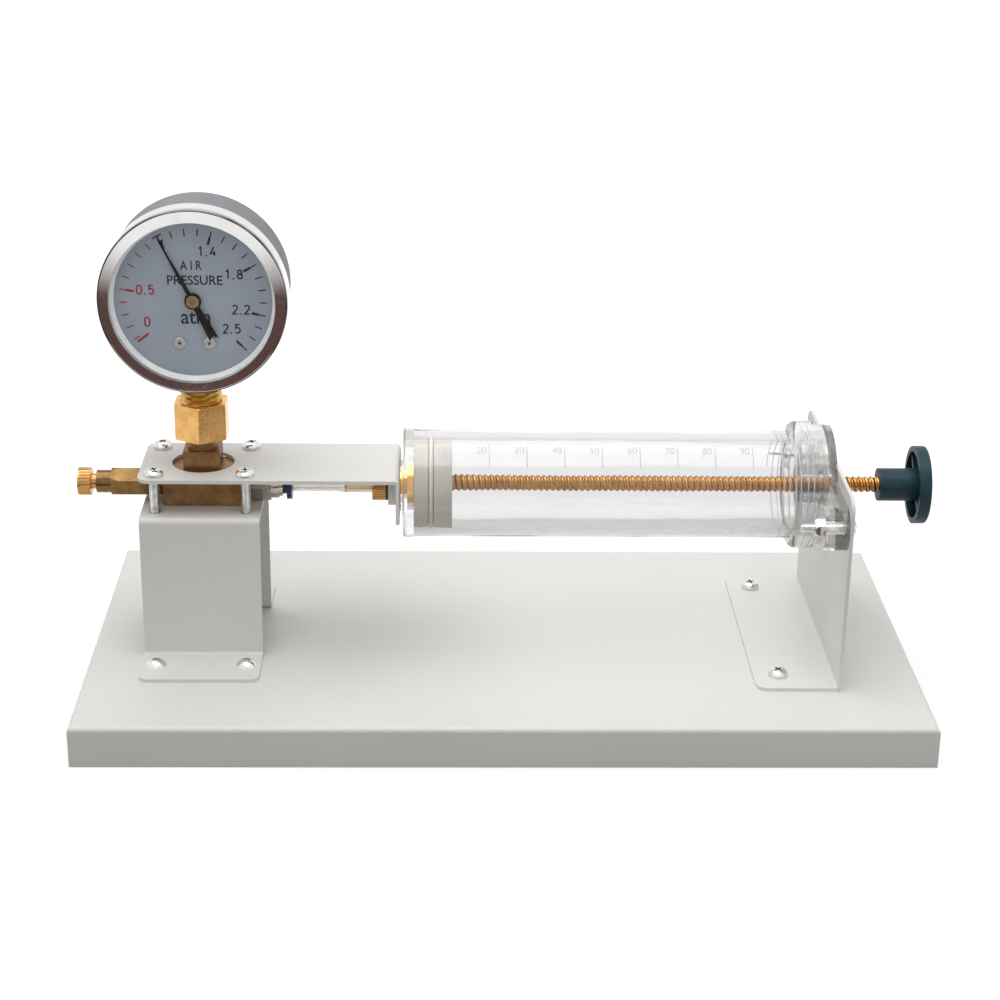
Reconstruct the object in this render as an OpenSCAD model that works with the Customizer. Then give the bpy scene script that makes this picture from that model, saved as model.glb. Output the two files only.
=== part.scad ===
// Boyle's law apparatus: a clear barrel with a screw-driven piston, a tube, a manifold with a bleed valve,
// and an absolute pressure gauge, all standing on a folded sheet base.
// Frame: origin at the centre of the base's underside, +X towards the handwheel, +Y to the back, +Z up.

/* [Base] */
// Length of the base tray along X
base_l = 280; // [240:1:320]
// Depth of the base tray along Y
base_w = 145; // [120:1:170]
// Height of the base tray
base_h = 14; // [10:0.5:20]
// Thickness of all folded steel sheet
sheet = 1.2; // [0.8:0.1:2]
// Outside radius of the base tray's bends
tray_bend = 1.6; // [1.4:0.1:3]

/* [Common axis] */
// Height of the barrel, tube and manifold axis
axis_z = 70.1; // [60:0.1:80]
// X of the gauge's upright axis
gauge_x = -101.5; // [-110:0.5:-95]

/* [Pedestal and clamp strap] */
// Length of the pedestal along X
ped_l = 40; // [30:1:50]
// Depth of the pedestal over its legs
ped_w = 40; // [36:1:50]
// Length of each pedestal flange beyond its leg
ped_flange = 20; // [15:0.5:25]
// Outside radius of the pedestal's bends
ped_bend = 2; // [1.4:0.1:4]
// Spacing along X of the screws in pedestal and strap
screw_pitch_x = 30.4; // [24:0.1:34]
// Spacing along Y of the four strap screws
strap_pitch_y = 26.8; // [24:0.1:30]
// Spacing along Y of the four pedestal flange screws
flange_pitch_y = 58; // [50:0.5:70]
// Left end of the clamp strap
strap_left = -122; // [-126:0.5:-118]
// Outer face of the strap's down-turned tab
tab_face = -35; // [-40:0.5:-30]
// Width of the clamp strap
strap_w = 36; // [30:0.5:40]
// Outside radius of the strap's bend
strap_bend = 1.8; // [1.4:0.1:5]
// Lowest point of the strap's tab
tab_low = 60.5; // [55:0.5:62]
// Corner radius of strap and tab
strap_corner = 4; // [1:0.5:8]
// Diameter of the strap's window round the manifold boss
window_d = 21; // [18:0.5:24]

/* [Manifold and adapter] */
// Length of the manifold bar
man_l = 26; // [20:0.5:34]
// Depth of the manifold bar
man_w = 16; // [12:0.5:20]
// Height of the pedestal's top, where the manifold bar stands
ped_top = 64.4; // [60:0.1:66]
// Height of the manifold bar
man_h = 11.8; // [10:0.1:14]
// Side of the square boss on the manifold
boss_side = 12.2; // [8:0.1:14]
// Top of the square boss
boss_top = 83; // [80:0.5:86]
// Diameter of the threaded neck on the boss
neck_d = 10; // [8:0.1:12]
// Diameter of the air passages
air_d = 4; // [2:0.5:5]
// Flat to flat size of the gauge adapter
adapter_af = 17; // [14:0.5:22]
// Underside of the gauge adapter
adapter_low = 87; // [85:0.5:90]
// Top of the gauge adapter
adapter_top = 99.5; // [95:0.5:104]
// Diameter of the gauge's threaded stem
stem_d = 14; // [10:0.5:16]

/* [Gauge] */
// Height of the dial centre
gauge_z = 137.5; // [130:0.5:145]
// How far the bezel's rear edge stands out round the case
bezel_stand = 1.1; // [0.8:0.1:3]
// How far the bezel's front edge stands out round the case
bezel_front_stand = 0.7; // [0:0.1:3]
// Front face of the bezel along Y
bezel_front = -16; // [-20:0.5:-12]
// Depth of the bezel's rim
bezel_depth = 8.85; // [6:0.05:12]
// Width of the bezel's front ring
bezel_ring = 3.9; // [2:0.1:6]
// Outside diameter of the gauge case behind its bezel
case_d = 60; // [50:0.5:66]
// Back face of the gauge case along Y
case_back = 14.6; // [10:0.1:20]
// Wall of the gauge case
case_wall = 1.2; // [0.8:0.1:2]
// Front face of the dial plate along Y
dial_front = -11.3; // [-13:0.1:-9]
// Thickness of the dial plate
dial_t = 0.6; // [0.4:0.1:1]
// Width of the white cone where it meets the dial
cone_w = 2.3; // [1:0.1:4]
// Pointer angle at rest, one atmosphere, anticlockwise from straight up
pointer_rest = 27; // [0:1:60]
// Pointer length from its axis to its tip
pointer_l = 23.4; // [16:0.2:24]

/* [Gauge movement] */
// Module of the pinion and the toothed sector
gear_module = 0.3; // [0.25:0.01:0.4]
// Teeth on the pinion
pinion_teeth = 12; // [10:1:16]
// Teeth that the sector would have as a full wheel
sector_wheel = 96; // [72:1:120]
// Teeth cut on the sector
sector_teeth = 12; // [12:1:18]
// Width of the pinion along its axis
pinion_w = 1.8; // [1:0.1:3]
// Thickness of the toothed sector
sector_t = 1; // [0.6:0.1:1.6]
// Play between the teeth at the pitch circle
backlash = 0.1; // [0.04:0.01:0.15]
// Gap between the curved pressure tube and the case
bourdon_gap = 6.6; // [2:0.1:8]
// Depth of the curved pressure tube along Y
bourdon_w = 7; // [5:0.5:8]
// Thickness of the curved pressure tube
bourdon_t = 3; // [2:0.1:4]
// How far the link's pins lie below the curved tube's mean radius
pin_drop = 1.7; // [1:0.1:3]

/* [Bleed valve] */
// Flat to flat size of the valve body
valve_af = 9; // [8:0.1:10]
// Turn of the valve body about its axis
valve_turn = 8.5; // [0:0.5:30]
// Diameter of the valve's knurled head
bleed_head_d = 9.4; // [8:0.1:11]
// Left face of the knurled head
bleed_left = -143.8; // [-146:0.1:-142]

/* [Tube and its fittings] */
// Flat to flat size of the tube fitting
fitting_af = 10.8; // [9:0.1:12]
// Outside diameter of the air tube
tube_d = 6; // [4:0.1:8]
// Inside diameter of the air tube
tube_bore = 4; // [2.5:0.1:6]
// Diameter of the brass stem that the tube is pushed over
barb_d = 5; // [4.5:0.1:6]
// Diameter of the threaded port nipple
nipple_d = 8; // [6:0.5:10]
// Diameter of the knurled port nut
port_nut_d = 12.1; // [10:0.1:15]

/* [Barrel and piston] */
// Outside diameter of the clear barrel
barrel_d = 36.6; // [30:0.1:42]
// Inside diameter of the clear barrel
barrel_bore = 31.2; // [26:0.1:36]
// Left face of the barrel's end wall
barrel_left = -33.9; // [-34.5:0.1:-33]
// Thickness of the barrel's end wall
barrel_wall = 3.6; // [3:0.1:5]
// Length of the piston
piston_l = 12.7; // [10:0.1:18]
// Gap between piston and end wall at rest
piston_rest = 0.2; // [0.1:0.1:1]
// Section diameter of the piston's sealing ring
ring_section = 1.56; // [1.4:0.02:2]
// Travel of the piston
travel = 115; // [80:1:116]

/* [End cap and rear bracket] */
// Diameter of the end cap's grip ring
cap_d = 43.4; // [40:0.1:48]
// Diameter of the end cap's smaller ring
cap_neck_d = 41; // [38:0.1:44]
// Left face of the end cap
cap_left = 97.5; // [90:0.5:100]
// Right face of the end cap
cap_right = 111; // [108:0.5:114]
// Overall width of the end cap over its ears
ear_span = 92.6; // [80:0.2:100]
// Height of the ears
ear_h = 14.6; // [12:0.1:18]
// Thickness of the ears
ear_t = 3; // [2:0.1:5]
// Spacing of the two screws through the ears
ear_pitch = 78; // [70:0.5:84]
// Left end of the bracket's foot
foot_left = 84; // [78:0.5:90]
// Width of the bracket
bracket_w = 91.5; // [80:0.5:100]
// Top of the bracket's wall
bracket_top = 82; // [78:0.5:92]
// Outside radius of the bracket's bend
bracket_bend = 2; // [1.4:0.1:4]
// X of the screws in the bracket's foot
foot_screw_x = 92.3; // [88:0.1:98]
// Spacing of the screws in the bracket's foot
foot_pitch = 72; // [60:0.5:80]

/* [Lead screw and handwheel] */
// Outside diameter of the lead screw
screw_d = 5.5; // [5:0.1:8]
// Lead of the screw, its travel in one turn
screw_lead = 2; // [1:0.25:3]
// Left end of the handwheel's hub
hub_left = 128.3; // [126:0.1:132]
// Diameter of the handwheel's hub
hub_d = 11.2; // [9:0.1:14]
// Diameter of the handwheel
wheel_d = 26.6; // [22:0.1:32]
// Width of the handwheel's rim
rim_w = 4.2; // [3:0.1:8]
// Right face of the handwheel
wheel_right = 144.5; // [142:0.1:150]

/* [Clearances] */
// Radial clearance of turning fits
running = 0.05; // [0.02:0.01:0.1]
// Radial clearance of screws in their holes
free_fit = 0.2; // [0.1:0.05:0.5]
// Radial clearance of the piston in the barrel
piston_gap = 0.2; // [0.1:0.05:0.3]

/* [Hidden] */
$fn = 64;
eps = 0.5;
strap_low = ped_top + man_h;
strap_top = strap_low + sheet;
ped_screw_xs = [gauge_x - screw_pitch_x / 2, gauge_x + screw_pitch_x / 2];
m3_d = 3;
m3_head_d = 5.5;
m3_head_h = 1.9;
m3_nut_af = 5.5;
m3_nut_h = 2.4;
m35_d = 3.5;
m35_head_d = 6.4;
m35_head_h = 2.4;
m35_nut_af = 6;
m35_nut_h = 2.8;
strap_screw_l = man_h + 2 * sheet + m35_nut_h + 2;
bracket_screw_l = 2 * sheet + m35_nut_h + 2.8;
m4_d = 4;
m4_head_d = 7;
m4_head_h = 2.2;
m4_nut_af = 7;
m4_nut_h = 3.2;
socket_af = 2.5;
tray_under = base_h - sheet;
man_left = gauge_x - man_l / 2;
man_right = gauge_x + man_l / 2;
valve_hex_left = -132.5;
valve_collar_left = -137.6;
valve_collar_d = 7.7;
valve_seat_x = -126;
valve_stub = 6;
bleed_bore_d = 4.4;
bleed_head_w = 4.3;
pad_len = 1;
fit_hex_left = -86;
fit_hex_right = -78.6;
fit_collar_right = -75.9;
fit_right = -74.7;
fit_stub_d = 8.4;
fit_collar_d = 10.8;
fit_neck_d = 9.6;
collet_d = 8;
collet_left = -78.6;
ring_flange_left = -73.3;
ring_flange_right = -71.6;
ring_flange_d = 11.6;
tube_left = -82.5;
tube_seal_x = -80.3;
barb_left = -53.1;
cone_left = -56.5;
port_nut_left = -44.4;
port_nut_right = -39.8;
gasket_right = -39;
gasket_d = 12.1;
outer_washer_d = 13;
outer_washer_drop = 1.3;
inner_washer_d = 17;
washer_drop = 0.95;
tab_inner = tab_face - sheet;
nipple_head_d = 14;
nipple_head_h = 2.2;
nipple_bore_d = 2.5;
barrel_inner = barrel_left + barrel_wall;
barrel_right = cap_right - 2.6;
end_wall_d = 37;
piston_left = barrel_inner + piston_rest;
piston_right = piston_left + piston_l;
piston_d = barrel_bore - 2 * piston_gap;
ring_x = -24.5;
ring_groove_w = 2;
ring_mean_r = barrel_bore / 2 - running - ring_section / 2;
ring_groove_r = ring_mean_r - ring_section / 2 - 0.03;
collar_d = 8.4;
collar_left = -23.4;
collar_right = -21.4;
retainer_left = -21.2;
retainer_d = 13;
cap_wall_left = barrel_right + 0.1;
cap_shoulder = 105.5;
cap_fillet = 2;
cap_boss_d = 14;
cap_boss_left = 100.2;
ear_boss_left = 103;
wall_out = cap_right + sheet;
cap_screw_l = wall_out - ear_boss_left + m3_nut_h + 4.4;
foot_top = base_h + sheet;
bracket_hole_d = 10;
hub_right = wheel_right - 2;
rim_left = wheel_right - rim_w;
screw_right = hub_right - 1.5;
rim_wall = 1.9;
web_t = 1.6;
case_r = case_d / 2;
bezel_r = case_r + bezel_stand;
bezel_front_d = case_d + 2 * bezel_front_stand;
rim_step = 0.7;
rim_r = case_r - rim_step;
bezel_in_r = rim_r + running;
bezel_back = bezel_front + bezel_depth;
lens_t = 1;
lens_d = 2 * (rim_r - 0.1);
lip_t = 1.4;
lens_front = bezel_front + lip_t;
case_front = lens_front + lens_t;
case_in_r = rim_r - case_wall;
dial_r = case_in_r - 0.2;
cone_d = 2 * (dial_r - cone_w);
bourdon_r = case_in_r - bourdon_gap - bourdon_t / 2;
dial_back = dial_front + dial_t;
case_corner = 3;
inner_corner = case_corner - case_wall;
stem_low = adapter_low + 5;
block_w = 13;
block_low = gauge_z - sqrt(pow(case_in_r, 2) - pow(block_w / 2, 2)) + 0.2;
stem_top = block_low + 0.7;
seat_depth = 2.5;
block_top = gauge_z - bourdon_r + seat_depth;
block_front = -2;
block_back = 7;
pitch_p = gear_module * pinion_teeth / 2;
pitch_s = gear_module * sector_wheel / 2;
pivot_drop = pitch_p + pitch_s;
plate_t = 0.8;
front_plate = -8;
rear_plate = block_front - plate_t;
sector_front = -5.7;
pinion_front = -6.1;
spindle_r = 0.7;
pivot_r = 0.8;
pillar_r = 1.3;
dial_posts = [[-4.8, -14.3], [4.8, -14.3]];
post_r = 1.4;
dial_screw_d = 1.4;
dial_head_d = 4.2;
dial_head_h = 0.7;
frame_screw_xs = [-4, 4];
plate_low = stem_top + 0.1 - gauge_z;
frame_screw_z = plate_low + 1.4;
frame_screw_d = 1.6;
link_t = 0.5;
link_front = sector_front + sector_t + 0.12;
link_pin_r = 0.5;
tail_z = -bourdon_r - pin_drop;
tail_l = -tail_z - pivot_drop;
tip_pin_x = bourdon_r / 2;
slot_x = [tip_pin_x - 2, tip_pin_x + 1.9];
lug_x = 0.6 * bourdon_r;
lug_z = -0.865 * bourdon_r;
lug_r = 1.7;
plate_half = lug_x - lug_r - 1.1;
plate_waist = 6.2;
plate_high = -12;
plate_mid = tail_z + 3.2;
pillar_x = plate_half - 1.6;
pillars = [[-pillar_x, plate_high - 1], [pillar_x, plate_high - 1]];
slot_half = 0.8;
bourdon_mid = (block_front + block_back) / 2;
root_angle = 257;
sweep_angle = 309;
bourdon_wall = 0.4;
tip_angle = 7;
passage_z = 0.4 - bourdon_r;
spring_front = -6.85;
spring_h = 0.3;
spring_t = 0.16;
spring_step = 0.32;
spring_in = 1.3;
spring_halves = 9;
addendum_p = 1;
addendum_s = 0.7;
dedendum = 1.25;
pressure_angle = 20;
flank_steps = 5;
pointer_y = -12.7;
pointer_t = 0.4;
pointer_hub_d = 5.4;
hub_rise = 0.15;
hub_cap_d = 4.2;
hub_cap_front = -13.3;
SHEET = [0.84, 0.83, 0.80];
BRASS = [0.80, 0.58, 0.27];
STEEL = [0.75, 0.76, 0.78];
CLEAR = [0.85, 0.90, 0.95, 0.35];
BLACK = [0.08, 0.08, 0.08];
WHITE = [0.95, 0.95, 0.93];
MILKY = [0.88, 0.85, 0.76, 0.8];

// ---- shared shapes ----

// Along +X from x0 to x1 on the common axis
module on_axis(x0) {
    translate([x0, 0, axis_z])
        rotate([0, 90, 0])
            children();
}

module rod_x(x0, x1, d) {
    on_axis(x0)
        cylinder(h = x1 - x0, d = d);
}

// Along +Y from y0 to y1 at a place given from the dial centre
module rod_y(x, z, y0, y1, d) {
    translate([gauge_x + x, y0, gauge_z + z])
        rotate([-90, 0, 0])
            cylinder(h = y1 - y0, d = d);
}

// A flat outline seen from the front, with x to the right and z up from the dial centre
module front_plate_at(y0, t) {
    translate([gauge_x, y0 + t, gauge_z])
        rotate([90, 0, 0])
            linear_extrude(t)
                children();
}

// A ring or cup turned about the gauge axis, drawn as [radius, y]
module turned_gauge() {
    translate([gauge_x, 0, gauge_z])
        rotate([-90, 0, 0])
            rotate_extrude($fn = 96)
                children();
}

// A ring turned about the common axis, drawn as [radius, x]
module turned_x() {
    translate([0, 0, axis_z])
        rotate([0, 90, 0])
            rotate_extrude($fn = 96)
                children();
}

// A rectangle standing on y = 0 with its two upper corners rounded
module round_top(w, h, r) {
    translate([-w / 2, 0])
        square([w, h - r]);
    translate([-w / 2 + r, 0])
        square([w - 2 * r, h]);
    for (s = [-1, 1])
        translate([s * (w / 2 - r), h - r])
            circle(r);
}

// A plate of length l from x = 0 with its two far corners rounded
module round_end(l, w, r) {
    translate([0, -w / 2])
        square([l - r, w]);
    translate([0, -w / 2 + r])
        square([l, w - 2 * r]);
    for (s = [-1, 1])
        translate([l - r, s * (w / 2 - r)])
            circle(r);
}

// A quarter of a bent sheet, outside radius r, from the +x axis to the +y axis
module quarter_bend(r) {
    intersection() {
        difference() {
            circle(r);
            circle(r - sheet);
        }
        square(r);
    }
}

module nut_z(af, h, d) {
    difference() {
        intersection() {
            cylinder(h = h, d = af / cos(30), $fn = 6);
            cylinder(h = h, d1 = af * 1.3, d2 = af * 1.04);
        }
        translate([0, 0, -eps])
            cylinder(h = h + 2 * eps, d = d);
    }
}

// A pan head screw pointing down, its head's seat at z = 0
module pan_screw(d, head_d, head_h, l) {
    crown = 0.14 * head_d;
    translate([0, 0, -l])
        cylinder(h = l + head_h / 2, d = d);
    rotate_extrude()
        difference() {
            union() {
                square([head_d / 2 - crown, head_h]);
                square([head_d / 2, head_h - crown]);
                translate([head_d / 2 - crown, head_h - crown])
                    circle(crown);
            }
            translate([-head_d, 0])
                square([head_d, head_h]);
            translate([-eps, -crown])
                square([head_d, crown]);
        }
}

// ---- base, pedestal, strap ----

module tray_form(l, w, h, r) {
    intersection() {
        rotate([90, 0, 0])
            linear_extrude(w, center = true)
                round_top(l, h, r);
        rotate([90, 0, 90])
            linear_extrude(l, center = true)
                round_top(w, h, r);
    }
}

module base_tray() {
    color(SHEET)
        difference() {
            tray_form(base_l, base_w, base_h, tray_bend);
            translate([0, 0, -eps])
                tray_form(base_l - 2 * sheet, base_w - 2 * sheet, tray_under + eps, tray_bend - sheet);
            for (x = ped_screw_xs, s = [-1, 1])
                translate([x, s * flange_pitch_y / 2, tray_under - eps])
                    cylinder(h = sheet + 2 * eps, r = m4_d / 2 + free_fit);
            for (s = [-1, 1])
                translate([foot_screw_x, s * foot_pitch / 2, tray_under - eps])
                    cylinder(h = sheet + 2 * eps, r = m35_d / 2 + free_fit);
        }
}

// The pedestal's section across its legs, standing on y = 0
module hat_section(h) {
    in_r = ped_bend - sheet;
    reach = ped_w / 2 + ped_flange;
    difference() {
        union() {
            round_top(ped_w, h, ped_bend);
            translate([-reach, 0])
                square([2 * reach, sheet]);
            for (s = [-1, 1])
                difference() {
                    translate([s * ped_w / 2 - in_r, sheet - eps])
                        square([2 * in_r, in_r + eps]);
                    translate([s * (ped_w / 2 + in_r), sheet + in_r])
                        circle(in_r);
                }
        }
        translate([0, -eps])
            round_top(ped_w - 2 * sheet, h - sheet + eps, in_r);
        for (s = [-1, 1])
            difference() {
                translate([s * (ped_w / 2 - sheet + ped_bend / 2) - ped_bend / 2, -eps])
                    square([ped_bend, ped_bend + eps]);
                translate([s * (ped_w / 2 - sheet + ped_bend), ped_bend])
                    circle(ped_bend);
                translate([s * (ped_w / 2 + ped_bend) - ped_bend, -2 * eps])
                    square([2 * ped_bend, eps]);
            }
    }
}

module pedestal() {
    reach = ped_w + 2 * ped_flange;
    color(SHEET)
        difference() {
            intersection() {
                translate([gauge_x, 0, base_h])
                    rotate([90, 0, 90])
                        linear_extrude(ped_l, center = true)
                            hat_section(ped_top - base_h);
                translate([gauge_x, 0, base_h - eps])
                    linear_extrude(ped_top - base_h + 2 * eps)
                        for (a = [-90, 90])
                            rotate(a)
                                round_end(reach / 2, ped_l, 3);
            }
            for (x = ped_screw_xs, s = [-1, 1]) {
                translate([x, s * flange_pitch_y / 2, base_h - eps])
                    cylinder(h = sheet + 2 * eps, r = m4_d / 2 + free_fit);
                translate([x, s * strap_pitch_y / 2, ped_top - sheet - eps])
                    cylinder(h = sheet + 2 * eps, r = m35_d / 2 + free_fit);
            }
        }
}

module pedestal_screws() {
    tip = 9;
    color(STEEL)
        for (x = ped_screw_xs, s = [-1, 1])
            translate([x, s * flange_pitch_y / 2, foot_top])
                difference() {
                    union() {
                        translate([0, 0, -tip])
                            cylinder(h = tip + m4_head_h / 2, d = m4_d);
                        rotate_extrude()
                            intersection() {
                                square([m4_head_d / 2, m4_head_h]);
                                translate([0, m4_head_h - 3.95])
                                    circle(3.95, $fn = 96);
                            }
                    }
                    translate([0, 0, m4_head_h - 1.3])
                        cylinder(h = 2, d = socket_af / cos(30), $fn = 6);
                }
}

module pedestal_nuts() {
    color(STEEL)
        for (x = ped_screw_xs, s = [-1, 1])
            translate([x, s * flange_pitch_y / 2, tray_under])
                mirror([0, 0, 1])
                    nut_z(m4_nut_af, m4_nut_h, m4_d + 2 * running);
}

module clamp_strap() {
    flat_right = tab_face - strap_bend;
    color(SHEET)
        difference() {
            union() {
                translate([flat_right, 0, strap_low])
                    linear_extrude(sheet)
                        mirror([1, 0])
                            round_end(flat_right - strap_left, strap_w, strap_corner);
                translate([flat_right, 0, strap_top - strap_bend])
                    rotate([90, 0, 0])
                        linear_extrude(strap_w, center = true)
                            quarter_bend(strap_bend);
                translate([tab_inner, 0, strap_top - strap_bend])
                    rotate([0, 90, 0])
                        linear_extrude(sheet)
                            round_end(strap_top - strap_bend - tab_low, strap_w, strap_corner);
            }
            translate([gauge_x, 0, strap_low - eps])
                cylinder(h = sheet + 2 * eps, d = window_d);
            for (x = ped_screw_xs, s = [-1, 1])
                translate([x, s * strap_pitch_y / 2, strap_low - eps])
                    cylinder(h = sheet + 2 * eps, r = m35_d / 2 + free_fit);
            rod_x(tab_inner - eps, tab_face + eps, nipple_d + 2 * free_fit);
        }
}

module strap_screws() {
    color(STEEL)
        for (x = ped_screw_xs, s = [-1, 1])
            translate([x, s * strap_pitch_y / 2, strap_top])
                pan_screw(m35_d, m35_head_d, m35_head_h, strap_screw_l);
}

module strap_nuts() {
    color(STEEL)
        for (x = ped_screw_xs, s = [-1, 1])
            translate([x, s * strap_pitch_y / 2, ped_top - sheet])
                mirror([0, 0, 1])
                    nut_z(m35_nut_af, m35_nut_h, m35_d + 2 * running);
}

// ---- manifold, adapter, valve ----

module manifold() {
    color(BRASS)
        difference() {
            union() {
                translate([man_left, -man_w / 2, ped_top])
                    cube([man_l, man_w, man_h]);
                translate([gauge_x - boss_side / 2, -boss_side / 2, axis_z])
                    cube([boss_side, boss_side, boss_top - axis_z]);
                translate([gauge_x, 0, boss_top - eps])
                    cylinder(h = adapter_low + 4 - boss_top + eps, d = neck_d);
            }
            rod_x(man_left - eps, man_right + eps, air_d);
            rod_x(man_left - eps, man_left + valve_stub + 0.2, valve_stub + 2 * running);
            rod_x(man_right - 5.2, man_right + eps, fit_stub_d + 2 * running);
            translate([gauge_x, 0, axis_z])
                cylinder(h = adapter_low + 4 + eps - axis_z, d = air_d);
        }
}

module gauge_adapter() {
    h = adapter_top - adapter_low;
    cone = 1.6;
    far = adapter_af * 0.555;
    color(BRASS)
        translate([gauge_x, 0, adapter_low])
            difference() {
                intersection() {
                    rotate([0, 0, 30])
                        cylinder(h = h, d = adapter_af / cos(30), $fn = 6);
                    rotate_extrude($fn = 96)
                        polygon([[0, 0], [far, 0], [far + 0.8, cone], [far + 0.8, h - cone], [far, h], [0, h]]);
                }
                translate([0, 0, -eps])
                    cylinder(h = 4.1 + eps, d = neck_d + 2 * running);
                cylinder(h = h, d = air_d);
                translate([0, 0, stem_low - adapter_low])
                    cylinder(h = h, d = stem_d + 2 * running);
            }
}

module valve_body() {
    collar_len = valve_hex_left - valve_collar_left;
    color(BRASS)
        difference() {
            union() {
                on_axis(valve_hex_left)
                    intersection() {
                        rotate([0, 0, valve_turn])
                            cylinder(h = man_left - valve_hex_left, d = valve_af / cos(30), $fn = 6);
                        cylinder(h = man_left - valve_hex_left, d1 = valve_af * 1.06, d2 = valve_af + 6);
                    }
                rod_x(valve_collar_left, valve_hex_left + eps, valve_collar_d);
                rod_x(man_left - eps, man_left + valve_stub, valve_stub);
            }
            rod_x(valve_collar_left - eps, valve_seat_x, bleed_bore_d);
            rod_x(valve_seat_x - eps, man_left + valve_stub + eps, 1.6);
            // bleed hole on the underside of the collar
            translate([valve_hex_left - collar_len * 0.42, 0, axis_z])
                rotate([150, 0, 0])
                    cylinder(h = valve_collar_d, d = 1.2);
        }
}

// The seat pad moves along the axis with the screw but doesn't have to turn with it
module valve_pad() {
    color(BLACK)
        rod_x(valve_seat_x - pad_len, valve_seat_x - 0.02, bleed_bore_d - 2 * running);
}

module bleed_screw() {
    neck_right = bleed_left + bleed_head_w;
    grooves = 24;
    color(BRASS)
        difference() {
            union() {
                rod_x(bleed_left, neck_right, bleed_head_d);
                rod_x(neck_right - eps, valve_collar_left - 0.2, 5.2);
                rod_x(neck_right, valve_seat_x - pad_len - 0.03, bleed_bore_d - 2 * running);
            }
            for (i = [0:grooves - 1])
                translate([bleed_left + 0.7, 0, axis_z])
                    rotate([i * 360 / grooves, 0, 0])
                        translate([0, 0, bleed_head_d / 2])
                            rotate([0, 90, 0])
                                cylinder(h = bleed_head_w, d = 0.7, $fn = 16);
        }
}

// ---- tube and fittings ----

module fitting_body() {
    color(STEEL)
        difference() {
            union() {
                rod_x(man_right - 5, fit_hex_left + eps, fit_stub_d);
                on_axis(fit_hex_left)
                    intersection() {
                        rotate(30)
                            cylinder(h = fit_hex_right - fit_hex_left, d = fitting_af / cos(30), $fn = 6);
                        cylinder(h = fit_hex_right - fit_hex_left, d1 = fitting_af * 1.04, d2 = fitting_af + 8);
                    }
                rod_x(fit_hex_right - eps, fit_collar_right, fit_collar_d);
                rod_x(fit_collar_right - eps, fit_right, fit_neck_d);
            }
            rod_x(man_right - 5 - eps, fit_right + eps, air_d);
            rod_x(tube_left, fit_right + eps, tube_d + 2 * running);
            rod_x(tube_seal_x - 0.8, fit_right + eps, collet_d + 0.16);
        }
}

module tube_seal() {
    mid = (tube_d + collet_d + 0.16) / 4;
    color(BLACK)
        turned_x()
            translate([mid + 0.02, tube_seal_x])
                circle(d = (collet_d + 0.16 - tube_d) / 2 - 0.06, $fn = 32);
}

module release_ring() {
    color([0.08, 0.12, 0.30])
        turned_x()
            difference() {
                union() {
                    translate([tube_d / 2 + running, collet_left])
                        square([collet_d / 2 - tube_d / 2 - running, ring_flange_left - collet_left + eps]);
                    translate([tube_d / 2 + running, ring_flange_left])
                        square([ring_flange_d / 2 - tube_d / 2 - running, ring_flange_right - ring_flange_left]);
                }
                translate([tube_d / 2 + running - eps, ring_flange_right - 0.5])
                    square([eps + 0.4, 1]);
            }
}

module link_tube() {
    over = barb_d / 2 + running;
    wall = (tube_d - tube_bore) / 2;
    thin = wall - 0.08;
    color(MILKY)
        turned_x()
            polygon([[tube_bore / 2, tube_left], [tube_d / 2, tube_left], [tube_d / 2, cone_left],
                [over + thin, barb_left], [over + thin, port_nut_left - 0.1], [over, port_nut_left - 0.1],
                [over, barb_left], [tube_bore / 2, barb_left - 0.6]]);
}

module port_nipple() {
    head_left = barrel_inner - nipple_head_h;
    color(BRASS)
        difference() {
            union() {
                rod_x(barb_left, port_nut_left + eps, barb_d);
                rod_x(port_nut_left, head_left + eps, nipple_d);
                rod_x(head_left, barrel_inner - 0.05, nipple_head_d);
            }
            rod_x(barb_left - eps, barrel_inner + eps, nipple_bore_d);
        }
}

module port_nut() {
    grooves = 36;
    w = port_nut_right - port_nut_left;
    color(BRASS)
        difference() {
            rod_x(port_nut_left, port_nut_right, port_nut_d);
            rod_x(port_nut_left - eps, port_nut_right + eps, nipple_d + 2 * running);
            for (i = [0:grooves - 1])
                translate([port_nut_left + 0.8, 0, axis_z])
                    rotate([i * 360 / grooves, 0, 0])
                        translate([0, 0, port_nut_d / 2])
                            rotate([0, 90, 0])
                                cylinder(h = w, d = 0.62, $fn = 16);
        }
}

// A washer on the nipple's shank, hanging on it by its bore
module washer_x(x0, x1, d, drop) {
    bore = nipple_d + 2 * drop + 2 * running;
    translate([0, 0, -drop])
        difference() {
            rod_x(x0, x1, d);
            rod_x(x0 - eps, x1 + eps, bore);
        }
}

module port_gasket() {
    color(BLACK)
        washer_x(port_nut_right, gasket_right, gasket_d, 0);
}

module outer_washer() {
    color(WHITE)
        washer_x(gasket_right, tab_inner, outer_washer_d, outer_washer_drop);
}

module inner_washer() {
    color(CLEAR)
        washer_x(tab_face, barrel_left, inner_washer_d, washer_drop);
}

// ---- barrel, cap, bracket ----

module barrel() {
    wall_rim = 0.5;
    color(CLEAR)
        difference() {
            union() {
                turned_x()
                    union() {
                        translate([0, barrel_left + wall_rim])
                            square([end_wall_d / 2, barrel_wall - wall_rim]);
                        translate([0, barrel_left])
                            square([end_wall_d / 2 - wall_rim, barrel_wall]);
                        translate([end_wall_d / 2 - wall_rim, barrel_left + wall_rim])
                            circle(wall_rim);
                    }
                rod_x(barrel_left + barrel_wall / 2, barrel_right, barrel_d);
            }
            rod_x(barrel_inner, barrel_right + eps, barrel_bore);
            rod_x(barrel_left - eps, barrel_inner + eps, nipple_d + 2 * running);
            rod_x(barrel_inner - nipple_head_h, barrel_inner + eps, nipple_head_d + 2 * running);
        }
}

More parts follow.
